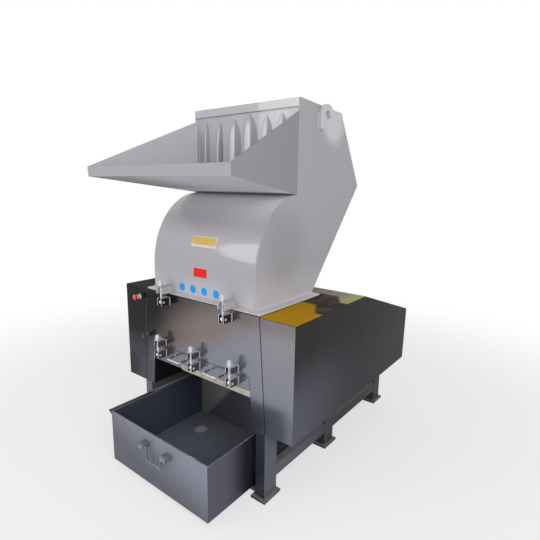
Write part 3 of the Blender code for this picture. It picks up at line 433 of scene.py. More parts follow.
# Screen door and lip strip. The plate that closes the screen, with the buff strip below it whose
# left end is cut round. The strip is rubbed and stained where plastic runs over it.
dress("screen_door", panel_enamel, 0.001)
strip_paint = Finish("strip_paint", {"Specular IOR Level": 0.3})
stain = strip_paint.grain(22, 6).rise(0.46, 0.72)
rubbed = strip_paint.grain(70, 5, (1, 1, 4)).rise(0.58, 0.70)
strip_tone = strip_paint.mix(stain * 0.7, paint(184, 175, 166), paint(142, 131, 120))
strip_tone = strip_paint.mix(rubbed * 0.6, strip_tone, paint(212, 206, 199))
strip_paint.give({"Base Color": strip_tone, "Roughness": 0.45 + 0.25 * stain})
strip_paint.raise_surface(strip_paint.grain(90, 4), 0.0006)
dress("lip_strip", strip_paint, 0.001)


# Swing bolts. Eye bolts on cross pins, each with a washer, a hexagon nut and a domed cap, all zinc
# plated. Five clamp the machine shut: two hold the hopper down and three hold the screen door up.
def spun(shape, profile, centre, direction, steps=32):
    """Adds a turned form to a mesh, from (radius, height) pairs along an axis."""
    turn = Vector((0, 0, 1)).rotation_difference(Vector(direction)).to_matrix()
    rings = []
    for radius, height in profile:
        ring = []
        for step in range(steps):
            angle = 2 * pi * (step + 0.5) / steps
            spot = Vector((radius * cos(angle), radius * sin(angle), height))
            ring.append(shape.verts.new(Vector(centre) + turn @ spot))
        rings.append(ring)
    wrap(shape, rings)


def threaded(radius, start, end, pitch=0.0018):
    """The outline of a threaded rod, crest and root in turn."""
    count = int((end - start) / pitch)
    outline = []
    for step in range(count):
        outline.append((radius * 0.92, start + step * pitch))
        outline.append((radius, start + (step + 0.5) * pitch))
    return outline


bright_zinc = Finish("bright_zinc", {"Metallic": 0.35, "Specular IOR Level": 0.5})
tarnish = bright_zinc.grain(55, 5).rise(0.48, 0.72)
zinc_tone = bright_zinc.mix(tarnish * 0.5, paint(206, 206, 211), paint(164, 162, 163))
bright_zinc.give({"Base Color": zinc_tone, "Roughness": 0.42 + 0.2 * tarnish})
bright_zinc.raise_surface(bright_zinc.grain(240, 2), 0.0002)

pivot_out = 0.046
pin_radius = 0.0055
pin_play = 0.0006
eye_wall = 0.006
eye_half_width = 0.008
eye_chamfer = 0.001
thread_length = 0.034
washer_thick = 0.003
washer_edge = 0.0015
nut_height = 0.018
nut_chamfer = 0.0014
thread_root = 0.0006
cap_foot = 0.0175
cap_rise = 0.0135
dome_end = pi / 2.1


def swing_bolt(name, x, pivot_z, top, rod_radius, across):
    """One bolt in its clamped place: eye, rod, thread, washer, nut and cap."""
    pin_y = front_y - pivot_out
    eye_radius = pin_radius + eye_wall
    bore = pin_radius + pin_play
    nut_foot = top - cap_foot - cap_rise
    nut_head = nut_foot + nut_height
    shape = bmesh.new()
    eye = [(bore, -eye_half_width), (eye_radius - eye_chamfer, -eye_half_width)]
    eye += [(eye_radius, eye_chamfer - eye_half_width), (eye_radius, eye_half_width - eye_chamfer)]
    eye += [(eye_radius - eye_chamfer, eye_half_width), (bore, eye_half_width)]
    spun(shape, eye, (x, pin_y, pivot_z), (1, 0, 0), 28)
    thread_foot = nut_foot - thread_length
    rod = [(rod_radius, pivot_z + eye_radius * 0.8), (rod_radius, thread_foot)]
    rod += threaded(rod_radius, thread_foot + thread_root, nut_foot)
    corner = across / sqrt(3)
    rim = corner + washer_edge
    washer = [(rim, nut_foot - washer_thick), (rim, nut_foot - 0.0004), (rim - 0.0006, nut_foot)]
    nut = [(across / 2, nut_foot), (corner, nut_foot + nut_chamfer)]
    nut += [(corner, nut_head - nut_chamfer), (across / 2, nut_head)]
    cap = arc((0, nut_foot + cap_foot), 0.44 * across, cap_rise, 0, dome_end, 8)
    for outline, sides in ((rod, 24), (washer, 40), (nut, 6), (cap, 32)):
        spun(shape, outline, (x, pin_y, 0), (0, 0, 1), sides)
    made(name, shape, bright_zinc, "zinc_plate", name, (name,), sharp=30)


bolt_kinds = {
    "lower": (0.0072, 0.029, ("left", "middle", "right")),
    "upper": (0.0060, 0.024, ("left", "right")),
}
for row, (rod_radius, across, places) in bolt_kinds.items():
    for place in places:
        name = f"{row}_swing_bolt_{place}"
        low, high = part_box(name)
        pivot_z = low.z + pin_radius + eye_wall
        swing_bolt(name, (low.x + high.x) / 2, pivot_z, high.z, rod_radius, across)


# Clevises, catches and hopper lugs. Folded brackets on back plates; the clevises carry the pins and
# the others are slotted for the bolts. Graphite paint, light on their tops and front edges, partly
# rubbed bright and partly painted highlight, with painted shade on the side faces and between the cheeks.
bracket_paint = Finish("bracket_paint", {"Specular IOR Level": 0.35})
flank = abs(bracket_paint.facing((1, 0, 0))).rise(0.35, 0.75)
chip = bracket_paint.grain(90, 5).rise(0.52, 0.66)
# Painted highlight and wear on the tops and the cheeks' front edges; painted shade on the side faces,
# darker on the upper brackets, and between the cheeks.
lit_and_worn_tone = bracket_paint.mix(chip * 0.6, paint(190, 188, 190), paint(120, 118, 120))
flank_tone = bracket_paint.mix(bracket_paint.z.rise(0.70, 0.90), paint(64, 65, 74), paint(34, 34, 34))
own_x = bracket_paint.part_of(bracket_paint.node("ShaderNodeTexCoord", output=0), 0)
edges = bracket_paint.facing((0, -1, 0)).rise(0.4, 0.8) * abs(own_x - 0.5).rise(0.25, 0.27)
edges = edges + bracket_paint.facing((0, 0, 1)).rise(0.5, 0.9)
dark_tone = bracket_paint.mix(flank, paint(40, 40, 44), flank_tone)
bracket_paint.give({"Base Color": bracket_paint.mix(edges, dark_tone, lit_and_worn_tone)})
bracket_paint.give({"Roughness": 0.34 + 0.2 * chip})
bracket_paint.raise_surface(bracket_paint.grain(110, 4), 0.0003)
for place in ("left", "middle", "right"):
    dress(f"door_catch_{place}", bracket_paint, 0.0008)

pin_head = [(0.0068, 0.0178), (0.0068, 0.0200), (0.0056, 0.0212), (0.0016, 0.0216)]
pins = bmesh.new()
for row, (rod_radius, across, places) in bolt_kinds.items():
    for place in places:
        dress(f"{row}_clevis_{place}", bracket_paint, 0.0008)
        low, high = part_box(f"{row}_swing_bolt_{place}")
        pivot = ((low.x + high.x) / 2, front_y - pivot_out, low.z + pin_radius + eye_wall)
        for side in (-1, 1):
            spun(pins, pin_head, pivot, (side, 0, 0), 24)
made("clevis_pin_heads", pins, bright_zinc, "zinc_plate", "base")


# Hopper. Side plates, a rolled belly and a folded back, 5 mm sheet seam welded and ground flush,
# standing on a flange that the upper bolts pull down. Smooth light grey stove enamel.
def grey_enamel(name, values):
    """The hopper's enamel. Its colour comes with settle(), once the tone over the piece is known."""
    finish = Finish(name, values)
    finish.give({"Roughness": 0.34 + 0.10 * finish.grain(2.4, 3)})
    finish.raise_surface(finish.grain(3.2, 2), 0.002)
    return finish


def settle(finish, tone):
    """Clouds and soils a tone a little and gives it to the enamel."""
    coat = finish.mix(0.12 * finish.grain(2.4, 3), tone, paint(136, 133, 137))
    grime = finish.grain(30, 6).rise(0.66, 0.80) * 0.14
    finish.give({"Base Color": finish.mix(grime, coat, paint(126, 122, 120))})


def distance_squared(across, along):
    """The square of a distance, from its two legs."""
    return across * across + along * along


hopper_enamel = grey_enamel("hopper_enamel", {"Specular IOR Level": 0.25})
# Painted light and shade on the side plates: lighter at the foot, a painted highlight near the hook, a
# darker painted shade patch at mid height, lighter front-facing edges, flange top and left inner face.
foot_light = hopper_enamel.z.fall(0.98, 1.18)
crown_off = distance_squared(hopper_enamel.y - (front_y + 0.71), hopper_enamel.z - 1.925)
crown_highlight = crown_off.fall(0.003, 0.022)
hollow_off = distance_squared(hopper_enamel.y - (front_y + 0.26), hopper_enamel.z - 1.28)
hollow = hollow_off.fall(0.0, 0.06)
plate_front = hopper_enamel.facing((0, -1, 0)).rise(0.4, 0.8)
flange_share = hopper_enamel.z.fall(top_z + 0.010, top_z + 0.016) * (1 - plate_front)
left_inside = hopper_enamel.facing((1, 0, 0)).rise(0.5, 0.9) * hopper_enamel.x.fall(-0.30, -0.20)
side_tone = hopper_enamel.layers(
    paint(168, 166, 171),
    (foot_light, paint(198, 196, 202)),
    (crown_highlight * 0.9, paint(208, 206, 210)),
    (hollow, paint(156, 154, 160)),
    (plate_front, paint(178, 176, 181)),
    (flange_share, paint(208, 206, 211)),
    (left_inside, paint(232, 230, 236)),
)
settle(hopper_enamel, side_tone)

belly_values = {"Specular IOR Level": 0.2, "Coat Weight": 0.5, "Coat Roughness": 0.08}
belly_enamel = grey_enamel("belly_enamel", belly_values)
# Painted light and shade by height: lighter low down, darker just above, and much lighter at the top where
# the tray shades it.
belly_tone = belly_enamel.layers(
    paint(176, 174, 178),
    (belly_enamel.z.rise(0.99, 1.13), paint(160, 158, 163)),
    (belly_enamel.z.rise(1.20, 1.34), paint(172, 170, 175)),
    (belly_enamel.z.rise(1.37, 1.50), paint(228, 226, 230)),
)
settle(belly_enamel, belly_tone)

header_enamel = grey_enamel("header_enamel", {"Specular IOR Level": 0.3})
# The right part is painted lighter as a painted reflection, and the underside painted lighter against its
# shade.
header_right = header_enamel.x.rise(0.100, 0.128)
header_tone = header_enamel.mix(header_right, paint(194, 192, 197), paint(224, 223, 226))
header_under = header_enamel.facing((0, 0, -1)).rise(0.5, 0.9)
settle(header_enamel, header_enamel.mix(header_under, header_tone, paint(240, 239, 242)))

belly_low, belly_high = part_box("hopper_belly")
crown_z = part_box("hopper_header")[1].z
hopper_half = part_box("hopper_right_side")[1].x
sheet = 0.005
seat_gap = 0.0003
belly_reach = 0.352
belly_rise = 0.410
mouth_y = belly_high.y


def belly_curve(steps, inset=0.0):
    """(y, z) points up the hopper's front and over its rolled belly to the mouth."""
    middle_y = belly_low.y + belly_reach
    end = acos((mouth_y - middle_y) / belly_reach)
    middle_z = belly_high.z - belly_rise * sin(end)
    roll = arc((middle_y, middle_z), belly_reach - inset, belly_rise - inset, pi, end, steps)
    return [(belly_low.y + inset, belly_low.z)] + roll


outer = belly_curve(60)
inner = belly_curve(60, sheet)
belly_half = hopper_half - sheet - seat_gap
belly = bmesh.new()
plate(belly, outer + inner[::-1], "X", -belly_half, belly_half)
made("belly_plate", belly, belly_enamel, "grey_enamel", "base", ("hopper_belly",), sharp=40)

roof_rear = front_y + 0.790
roof_drop = 0.017
back_bend = front_y + 1.042
bend_drop = 0.423
back_foot = front_y + 0.535
side_outline = outer + [
    (mouth_y, crown_z),
    (roof_rear, crown_z - roof_drop),
    (back_bend, crown_z - bend_drop),
    (back_foot, belly_low.z),
]
for side, word in hands:
    name = f"hopper_{word}_side"
    flank_plate = bmesh.new()
    plate(flank_plate, side_outline, "X", side * (hopper_half - sheet), side * hopper_half)
    made(f"{word}_side_plate", flank_plate, hopper_enamel, "grey_enamel", "base", (name,), edge=0.0012)
for node in ("hopper_back", "hopper_flange"):
    dress(node, hopper_enamel, 0.001)
dress("hopper_header", header_enamel, 0.001)
for word in ("left", "right"):
    dress(f"hopper_lug_{word}", belly_enamel, 0.0008)

fillet_radius = 0.009


def fillet(edge, outward):
    """The hollow outline of the weld where a wall at that edge stands on the flange."""
    middle = (edge + outward * fillet_radius, belly_low.z + fillet_radius)
    hollow_face = arc(middle, outward * fillet_radius, fillet_radius, pi, 1.5 * pi, 6)
    return [(edge, belly_low.z)] + hollow_face


foot_weld = bmesh.new()
for side in (-1, 1):
    plate(foot_weld, fillet(side * hopper_half, side), "Y", belly_low.y + 0.002, back_foot - 0.004)
plate(foot_weld, fillet(belly_low.y, -1), "X", -hopper_half, hopper_half)
made("hopper_foot_weld", foot_weld, hopper_enamel, "grey_enamel", "base", sharp=50)


# Plates and discs on the belly. A buff plate in a pale border, a red plate and four blue discs,
# thin film pressed onto the enamel and following its curve.
film_back = -0.0004
film_face = 0.0007
film_middle = 0.0009


def film(name, finish, slot, centre_x, centre_z, outline, under=0.0):
    """A thin film on the belly, from (x, z) offsets round its middle, laid over films that deep."""
    shape = bmesh.new()
    middle_z = belly_high.z - belly_rise

    def on_belly(u, v, lift):
        height = max(0.0, centre_z + v - middle_z) / belly_rise
        skin_y = belly_low.y + belly_reach * (1 - sqrt(1 - height * height))
        return shape.verts.new((centre_x + u, skin_y - under - lift, centre_z + v))

    rings = [[on_belly(u, v, lift) for u, v in outline] for lift in (film_back, film_face)]
    hub = on_belly(0, 0, film_middle)
    count = len(outline)
    for step in range(count):
        after = (step + 1) % count
        shape.faces.new((rings[0][step], rings[0][after], rings[1][after], rings[1][step]))
        shape.faces.new((rings[1][step], rings[1][after], hub))
    shape.faces.new(list(reversed(rings[0])))
    made(name, shape, finish, slot, "base", sharp=60)


def rounded(half_wide, half_high, radius):
    outline = []
    for right, up, turn in ((1, 1, 0), (-1, 1, 1), (-1, -1, 2), (1, -1, 3)):
        middle = (right * (half_wide - radius), up * (half_high - radius))
        outline += arc(middle, radius, radius, turn * pi / 2, (turn + 1) * pi / 2, 5)
    return outline


def film_finish(name, tone, worn):
    finish = Finish(name, {"Specular IOR Level": 0.12})
    mark = finish.grain(70, 5).rise(0.60, 0.72) * 0.35
    finish.give({"Base Color": finish.mix(mark, tone, worn), "Roughness": 0.45 + 0.3 * mark})
    return finish


plate_film = film_finish("plate_film", paint(206, 174, 84), paint(190, 180, 150))
border_film = film_finish("border_film", paint(212, 204, 196), paint(186, 178, 166))
red_film = film_finish("red_film", paint(220, 34, 28), paint(206, 96, 84))
blue_film = film_finish("blue_film", paint(24, 148, 226), paint(116, 170, 208))
film("blank_plate_border", border_film, "beige_strip", 0.009, 1.2745, rounded(0.0915, 0.027, 0.010))
film("blank_plate", plate_film, "beige_strip", 0.009, 1.2790, rounded(0.0850, 0.0185, 0.006), 0.0012)
film("red_plate", red_film, "red_plastic", 0.004, 1.1125, rounded(0.049, 0.0235, 0.0015))
disc_radius = 0.022
disc = arc((0, 0), disc_radius, disc_radius, 0, 2 * pi, 32)[:-1]
disc_z = 1.016
for number, disc_x in enumerate((-0.140, -0.054, 0.033, 0.120), start=1):
    film(f"blue_disc_{number}", blue_film, "zinc_plate", disc_x, disc_z, disc)


# Feed tray. Floor, two flaring wings and an upturned lip folded from one 4 mm sheet and welded to
# the mouth. The same grey enamel.
tray_enamel = grey_enamel("tray_enamel", {"Specular IOR Level": 0.0})
# Painted light and shade: the underside lighter to the right and much lighter near the joint, the left
# wing's inner face lighter, the right wing's outer face darker.
downward = tray_enamel.facing((0, 0, -1)).rise(0.5, 0.9)
joint_near = tray_enamel.y.rise(front_y + 0.11, front_y + 0.27)
inward = tray_enamel.facing((1, 0, 0)).rise(0.4, 0.8) * tray_enamel.x.fall(-0.30, -0.20)
outward = tray_enamel.facing((1, 0, 0)).rise(0.4, 0.8) * tray_enamel.x.rise(0.20, 0.30)
under_tone = tray_enamel.mix(tray_enamel.x.rise(-0.35, 0.10), paint(149, 147, 152), paint(184, 182, 187))
under_tone = tray_enamel.mix(joint_near, under_tone, paint(210, 208, 213))
tray_tone = tray_enamel.layers(
    paint(166, 164, 168),
    (downward, under_tone),
    (inward, paint(206, 204, 210)),
    (outward, paint(156, 154, 159)),
)
settle(tray_enamel, tray_tone)
dress("feed_tray", tray_enamel, 0.001)


# Strip curtain. Heavy grey vinyl strips clamped behind the header. They hang flat at the clamp and
# each has bellied forward into a long blister, with one joint standing open.
vinyl = Finish("grey_vinyl", {"Specular IOR Level": 0.35, "Coat Weight": 0.1, "Coat Roughness": 0.2})
vinyl_cloud = vinyl.grain(14, 4, (1, 1, 0.3))
header_clear = 0.0053
hang_y = mouth_y + sheet + header_clear
# Painted light: the strips right of the header's edge lighter as a painted reflection, a painted highlight
# on each blister's crest, painted shade on faces that turn right.
vinyl_right = vinyl.x.rise(0.100, 0.128)
crest = vinyl.y.fall(hang_y - 0.020, hang_y - 0.008) * vinyl.facing((1, 0, 0)).fall(0.1, 0.5)
turned = vinyl.facing((1, 0, 0)).rise(0.12, 0.42)
vinyl_tone = vinyl.layers(
    paint(182, 180, 185),
    (vinyl_right, paint(216, 215, 218)),
    (0.4 * vinyl_cloud, paint(160, 158, 164)),
    (crest * 0.7, paint(226, 225, 228)),
    (turned * 0.75, paint(142, 140, 146)),
)
vinyl.give({"Base Color": vinyl_tone, "Roughness": 0.30 + 0.15 * vinyl_cloud})
curtain_low, curtain_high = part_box("strip_curtain")
header_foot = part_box("hopper_header")[0].z
# Each strip's blister: its ridge, the height where it starts, its width left and right, its bulge.
pleats = (
    (-0.345, 1.895, 0.012, 0.018, 0.009),
    (-0.284, 1.933, 0.015, 0.022, 0.022),
    (-0.177, 1.930, 0.025, 0.030, 0.024),
    (-0.071, 1.937, 0.033, 0.064, 0.024),
    (0.039, 1.953, 0.034, 0.076, 0.024),
    (0.162, 1.936, 0.036, 0.054, 0.024),
    (0.262, 1.940, 0.036, 0.060, 0.024),
)
seams = (-0.3738, -0.325, -0.252, -0.158, -0.004, 0.119, 0.219, 0.3738)
open_seam = 3
open_from = 1.84
open_width = 0.0040
strip_thick = 0.003
least_width = 0.0006
flat_steps = 4
pleat_steps = 20
down_count = 64
strip_top_z = curtain_high.z - 0.010


def strip_line(number, z):
    """(x, out) points across one strip at that height: flat, over its blister, and flat again."""
    ridge, tip_z, left_width, right_width, bulge = pleats[number]
    left = seams[number] + seat_gap
    right = seams[number + 1] - seat_gap
    if number + 1 == open_seam:
        right -= open_width * min(1.0, max(0.0, (open_from - z) / 0.05))
    hang = max(0.0, tip_z - z)
    opened = (1 - exp(-hang / 0.05)) ** 0.8
    near_side = ridge - max(least_width, left_width * opened)
    far_side = min(ridge + max(least_width, right_width * opened), right - 0.0005)
    out = bulge * (1 - exp(-hang / 0.06))
    line = [(left + (near_side - left) * step / flat_steps, 0.0) for step in range(flat_steps)]
    for step in range(pleat_steps + 1):
        across = -cos(pi * step / pleat_steps)
        if across < 0:
            width = ridge - near_side
            proud = out * (1 - abs(across) ** 2.2) ** 0.6
        else:
            width = far_side - ridge
            slope = max(0.0, (across - 0.3) / 0.7)
            proud = out * (1 - slope * slope * (3 - 2 * slope))
        line.append((ridge + across * width, proud))
    for step in range(1, flat_steps + 1):
        line.append((far_side + (right - far_side) * step / flat_steps, 0.0))
    return line


def join(shape, above, below):
    for step in range(len(above) - 1):
        shape.faces.new((above[step], above[step + 1], below[step + 1], below[step]))


curtain = bmesh.new()
row_drop = (strip_top_z - curtain_low.z) / down_count
heights = [strip_top_z - row_drop * row for row in range(down_count + 1)]
for number in range(len(pleats)):
    near = []
    far = []
    for skin, skin_y in ((near, hang_y - strip_thick / 2), (far, hang_y + strip_thick / 2)):
        for z in heights:
            skin.append([curtain.verts.new((x, skin_y - out, z)) for x, out in strip_line(number, z)])
        for above, below in zip(skin, skin[1:]):
            join(curtain, above, below)
    for end in (0, -1):
        join(curtain, [row[end] for row in near], [row[end] for row in far])
        join(curtain, near[end], far[end])
made("vinyl_strips", curtain, vinyl, "grey_vinyl", "base", ("strip_curtain",), sharp=50)

clamp_half = 0.3698
clamp_foot = header_foot + 0.004
clamp_head = crown_z - 0.009
clamp_line = [(-clamp_half, clamp_foot), (clamp_half, clamp_foot)]
clamp_line += [(clamp_half, clamp_head), (-clamp_half, clamp_head)]
clamp_near = hang_y + 0.0018
clamp_far = hang_y + 0.0050
clamp = bmesh.new()
plate(clamp, clamp_line, "Y", clamp_near, clamp_far)
made("curtain_clamp_bar", clamp, hopper_enamel, "grey_enamel", "base", edge=0.0008)


# Lifting hooks. Flame-cut from 20 mm plate, one welded flat on each side of the hopper, with the
# enamel run over the weld.
hook_enamel = grey_enamel("hook_enamel", {"Specular IOR Level": 0.4})
# The hooks are painted lighter than the side plates, as painted light.
settle(hook_enamel, paint(200, 198, 203))
hook_radius = 0.071
hook_band = 0.046
hook_foot = 0.065
toe = 0.020
eye_radius = hook_radius - hook_band
eye_lift = 0.012
tip_lift = 0.003
tip_turn = 0.33
hook_weld_radius = 0.0035
weld_run = ((-0.073, 0.020), (-0.073, -0.067), (-0.050, -0.067), (-0.022, -0.040))
for side, word in hands:
    name = f"lifting_hook_{word}"
    low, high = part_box(name)
    middle_y = low.y + hook_radius
    middle_z = high.z - hook_radius
    foot_z = middle_z - hook_foot
    outline = [(low.y, foot_z), (low.y + toe, foot_z), (middle_y - eye_radius, foot_z + toe)]
    outline += arc((middle_y, middle_z + eye_lift), eye_radius, eye_radius, pi, 0, 24)
    outline.append((middle_y + eye_radius, middle_z + tip_lift))
    outline += arc((middle_y, middle_z), hook_radius, hook_radius, tip_turn, pi, 36)
    hook = bmesh.new()
    plate(hook, outline, "X", low.x, high.x)
    made(f"hook_{word}", hook, hook_enamel, "grey_enamel", "base", (name,), edge=0.0022)
    hook_weld = bmesh.new()
    wall_x = side * (hopper_half + 0.001)
    run = [(wall_x, middle_y + y, middle_z + z) for y, z in weld_run]
    bead(hook_weld, run, hook_weld_radius)
    made(f"hook_weld_{word}", hook_weld, hook_enamel, "grey_enamel", "base")


# Door handles. Two bows of 10 mm bright bar butted and welded to the screen door.
worn_bar = Finish("worn_bar", {"Metallic": 0.2, "Specular IOR Level": 0.5})
dull = worn_bar.grain(60, 5).rise(0.42, 0.66)
# Painted shade on the legs that run back to the door; the front bar is left light.
leg_share = worn_bar.y.rise(front_y - 0.048, front_y - 0.040)
bar_tone = worn_bar.mix(dull, paint(208, 208, 214), paint(164, 166, 175))
worn_bar.give({"Base Color": worn_bar.mix(leg_share, bar_tone, paint(88, 89, 100))})
worn_bar.give({"Roughness": 0.34 + 0.2 * dull})
bar = 0.005
bend = 0.016
bar_sides = 20
collar = [(0.0074, -0.0005), (0.0074, 0.0012), (0.0062, 0.0030)]
for place in ("left", "right"):
    name = f"door_handle_{place}"
    low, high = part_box(name)
    half = (high.x - low.x) / 2 - bar
    middle_x = (high.x + low.x) / 2
    middle_z = (high.z + low.z) / 2
    bend_y = low.y + bar + bend
    route = [Vector((middle_x - half, high.y, middle_z))]
    for side, start in ((-1, pi), (1, 1.5 * pi)):
        middle = (middle_x + side * (half - bend), bend_y)
        corner = arc(middle, bend, bend, start, start + pi / 2, 10)
        route += [Vector((x, y, middle_z)) for x, y in corner]
    route.append(Vector((middle_x + half, high.y, middle_z)))
    handle = bmesh.new()
    rings = []
    for step, spot in enumerate(route):
        ahead = route[min(step + 1, len(route) - 1)] - route[max(step - 1, 0)]
        ahead.normalize()
        flat_side = ahead.cross(Vector((0, 0, 1)))
        ring = []
        for side in range(bar_sides):
            angle = 2 * pi * side / bar_sides
            upward = Vector((0, 0, bar * sin(angle)))
            ring.append(handle.verts.new(spot + flat_side * bar * cos(angle) + upward))
        rings.append(ring)
    wrap(handle, rings)
    made(f"handle_bow_{place}", handle, worn_bar, "steel_rod", "base", (name,))
    handle_weld = bmesh.new()
    for side in (-1, 1):
        spun(handle_weld, collar, (middle_x + side * half, high.y, middle_z), (0, -1, 0), 20)
    made(f"handle_weld_{place}", handle_weld, bright_zinc, "zinc_plate", "base")


# Bin. A tub of 4 mm plate that slides out on rails, its left edge flared, its front edge hemmed.
# Graphite paint with painted light and shade over the tub; the rim is lighter, partly from wear and partly
# as painted highlight, with buff painted glints; rusty at the front's upper left corner.
bin_low, bin_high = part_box("bin")
bin_half = 0.380
bin_length = 0.680
knuckle_out = 0.044
bin_front = bin_low.y + knuckle_out
bin_back = bin_front + bin_length
wall = 0.004
bin_paint = Finish("bin_paint", {"Specular IOR Level": 0.2})
inward = abs(bin_paint.x).fall(bin_half - 0.003, bin_half - 0.001)
inward = inward * bin_paint.y.rise(bin_front + 0.001, bin_front + 0.003)
inward = inward * bin_paint.z.rise(bin_low.z + 0.001, bin_low.z + 0.003)
# Painted light and shade: the front lighter to the upper right, the flanks darker behind, the inside walls
# and floor given their own tones, and the olive area on the back wall painted light.
ahead = bin_paint.facing((0, -1, 0)).rise(0.3, 0.7)
mottle = bin_paint.grain(6, 4)
brighter = (0.6 * bin_paint.x + 2.2 * (bin_paint.z - 0.15) + 0.2 * mottle).rise(-0.10, 0.60)
front_tone = bin_paint.mix(brighter, paint(92, 94, 107), paint(130, 132, 146))
rearward = bin_paint.y.rise(bin_front + 0.10, bin_front + 0.28)
side_paint = bin_paint.mix(rearward, paint(80, 81, 93), paint(34, 37, 44))
outer_tone = bin_paint.mix(ahead, side_paint, front_tone)
floor_share = bin_paint.facing((0, 0, 1)).rise(0.5, 0.9)
scrape = bin_paint.grain(26, 5, (3, 1, 1)).rise(0.56, 0.72)
floor_tone = bin_paint.mix(scrape, paint(118, 121, 134), paint(140, 143, 156))
# A pale patch on the bin's floor.
pale_patch_off = distance_squared(bin_paint.x + 0.213, bin_paint.y - (front_y + 0.211))
pale_patch = (pale_patch_off + 0.002 * mottle).fall(0.0012, 0.0034)
floor_tone = bin_paint.mix(pale_patch * 0.8, floor_tone, paint(196, 198, 210))
back_share = bin_paint.facing((0, -1, 0)).rise(0.5, 0.9) * inward
back_tone = bin_paint.mix(bin_paint.x.rise(-0.10, 0.30), paint(84, 88, 98), paint(126, 129, 142))
olive_share = (bin_paint.x - 0.9 * (bin_paint.z - 0.20)).fall(-0.19, -0.15)
back_tone = bin_paint.mix(olive_share, back_tone, paint(134, 137, 131))
wall_tone = bin_paint.mix(back_share, paint(70, 75, 90), back_tone)
inner_tone = bin_paint.mix(floor_share, wall_tone, floor_tone)
rust = bin_paint.x.fall(-0.375, -0.28) * bin_paint.z.rise(0.265, 0.315) * ahead
rust = rust * bin_paint.grain(18, 6).rise(0.36, 0.66)
rim = bin_paint.z.rise(bin_high.z - 0.0036, bin_high.z - 0.0018)
nicks = bin_paint.grain(34, 6, (1, 1, 0.2)).rise(0.44, 0.62)
# A painted highlight along the outer edge of the flared lip at the back.
lip_highlight = bin_paint.x.fall(-bin_half - 0.018, -bin_half - 0.012)
lip_highlight = lip_highlight * bin_paint.z.rise(bin_high.z - 0.009, bin_high.z - 0.005)
lip_highlight = lip_highlight * bin_paint.y.rise(bin_front + 0.26, bin_front + 0.36)
glint = bin_paint.grain(15, 5).rise(0.60, 0.66)
scratch = bin_paint.grain(40, 2, (0.15, 1, 3)).rise(0.70, 0.73)
bin_tone = bin_paint.layers(
    outer_tone,
    (inward, inner_tone),
    (rust * 0.8, paint(120, 102, 94)),
    (rim * (0.40 + 0.45 * nicks), paint(146, 145, 152)),
    (lip_highlight * 0.85, paint(170, 168, 172)),
    (rim * glint, paint(212, 200, 184)),
    (scratch * 0.25, paint(150, 150, 158)),
)
bin_paint.give({"Base Color": bin_tone, "Roughness": 0.34 + 0.2 * mottle + 0.15 * rim})
bin_paint.raise_surface(bin_paint.grain(5, 4), 0.002)


def tub_corners(inset):
    left = -bin_half + inset
    right = bin_half - inset
    near = bin_front + inset
    far = bin_back - inset
    return [(left, near), (right, near), (right, far), (left, far)]


rim_z = bin_high.z - 0.0006
levels = ((0, bin_low.z), (0, rim_z), (wall, rim_z), (wall, bin_low.z + wall))
tub = bmesh.new()
wrap(tub, [[tub.verts.new((x, y, z)) for x, y in tub_corners(inset)] for inset, z in levels])
made("bin_tub", tub, bin_paint, "graphite_paint", "bin", ("bin",), edge=0.0012)

lip_out = 0.0295
lip_rise = 0.022
lip_drop = 0.012
lip_round = 0.004
lip = bmesh.new()
root_x = -bin_half + wall / 2
root_z = bin_high.z - lip_rise
tip_x = -bin_half - lip_out
lip_line = [(root_x, root_z)]
lip_line += arc((tip_x + lip_round, bin_high.z - lip_round), lip_round, lip_round, pi / 2, pi, 6)
lip_line += [(tip_x, bin_high.z - lip_drop), (tip_x + wall, bin_high.z - lip_drop)]
lip_line += [(tip_x + wall, bin_high.z - 0.007), (root_x, root_z - wall)]
plate(lip, lip_line, "Y", bin_front + 0.001, bin_back - 0.001)
made("bin_flared_lip", lip, bin_paint, "graphite_paint", "bin", edge=0.0008)

hem_round = 0.0032
hem_reach = 0.0065
hem_depth = 0.0036
hem = bmesh.new()
hem_line = [(bin_front + 0.001, bin_high.z - 0.0008)]
hem_middle = (bin_front + hem_reach, bin_high.z - hem_depth)
hem_line += arc(hem_middle, hem_round, hem_round, pi / 2, -pi / 2, 8)
hem_line.append((bin_front + 0.001, bin_high.z - 0.0068))
plate(hem, hem_line, "X", -bin_half + 0.001, bin_half - 0.001)
made("bin_front_hem", hem, bin_paint, "graphite_paint", "bin", sharp=50)


# Bin handle. A dropped bow of 12 mm bar in two knuckles rolled from strip and welded to the bin's
# front. The bar is dull from hands, and the knuckles carry painted light on their undersides.
bail_low, bail_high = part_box("bail_handle")
bail_rod = 0.006
pivot_y = (bail_low.y + bail_high.y) / 2
pivot_z = bail_high.z - bail_rod
bail_x = (bail_low.x + bail_high.x) / 2
bail_half = 0.068
knuckle_wide = 0.040
knuckle_reach = 0.016
knuckle_half = 0.0130
knuckle_gap = 0.0002
knuckle_paint = Finish("knuckle_paint", {"Specular IOR Level": 0.4})
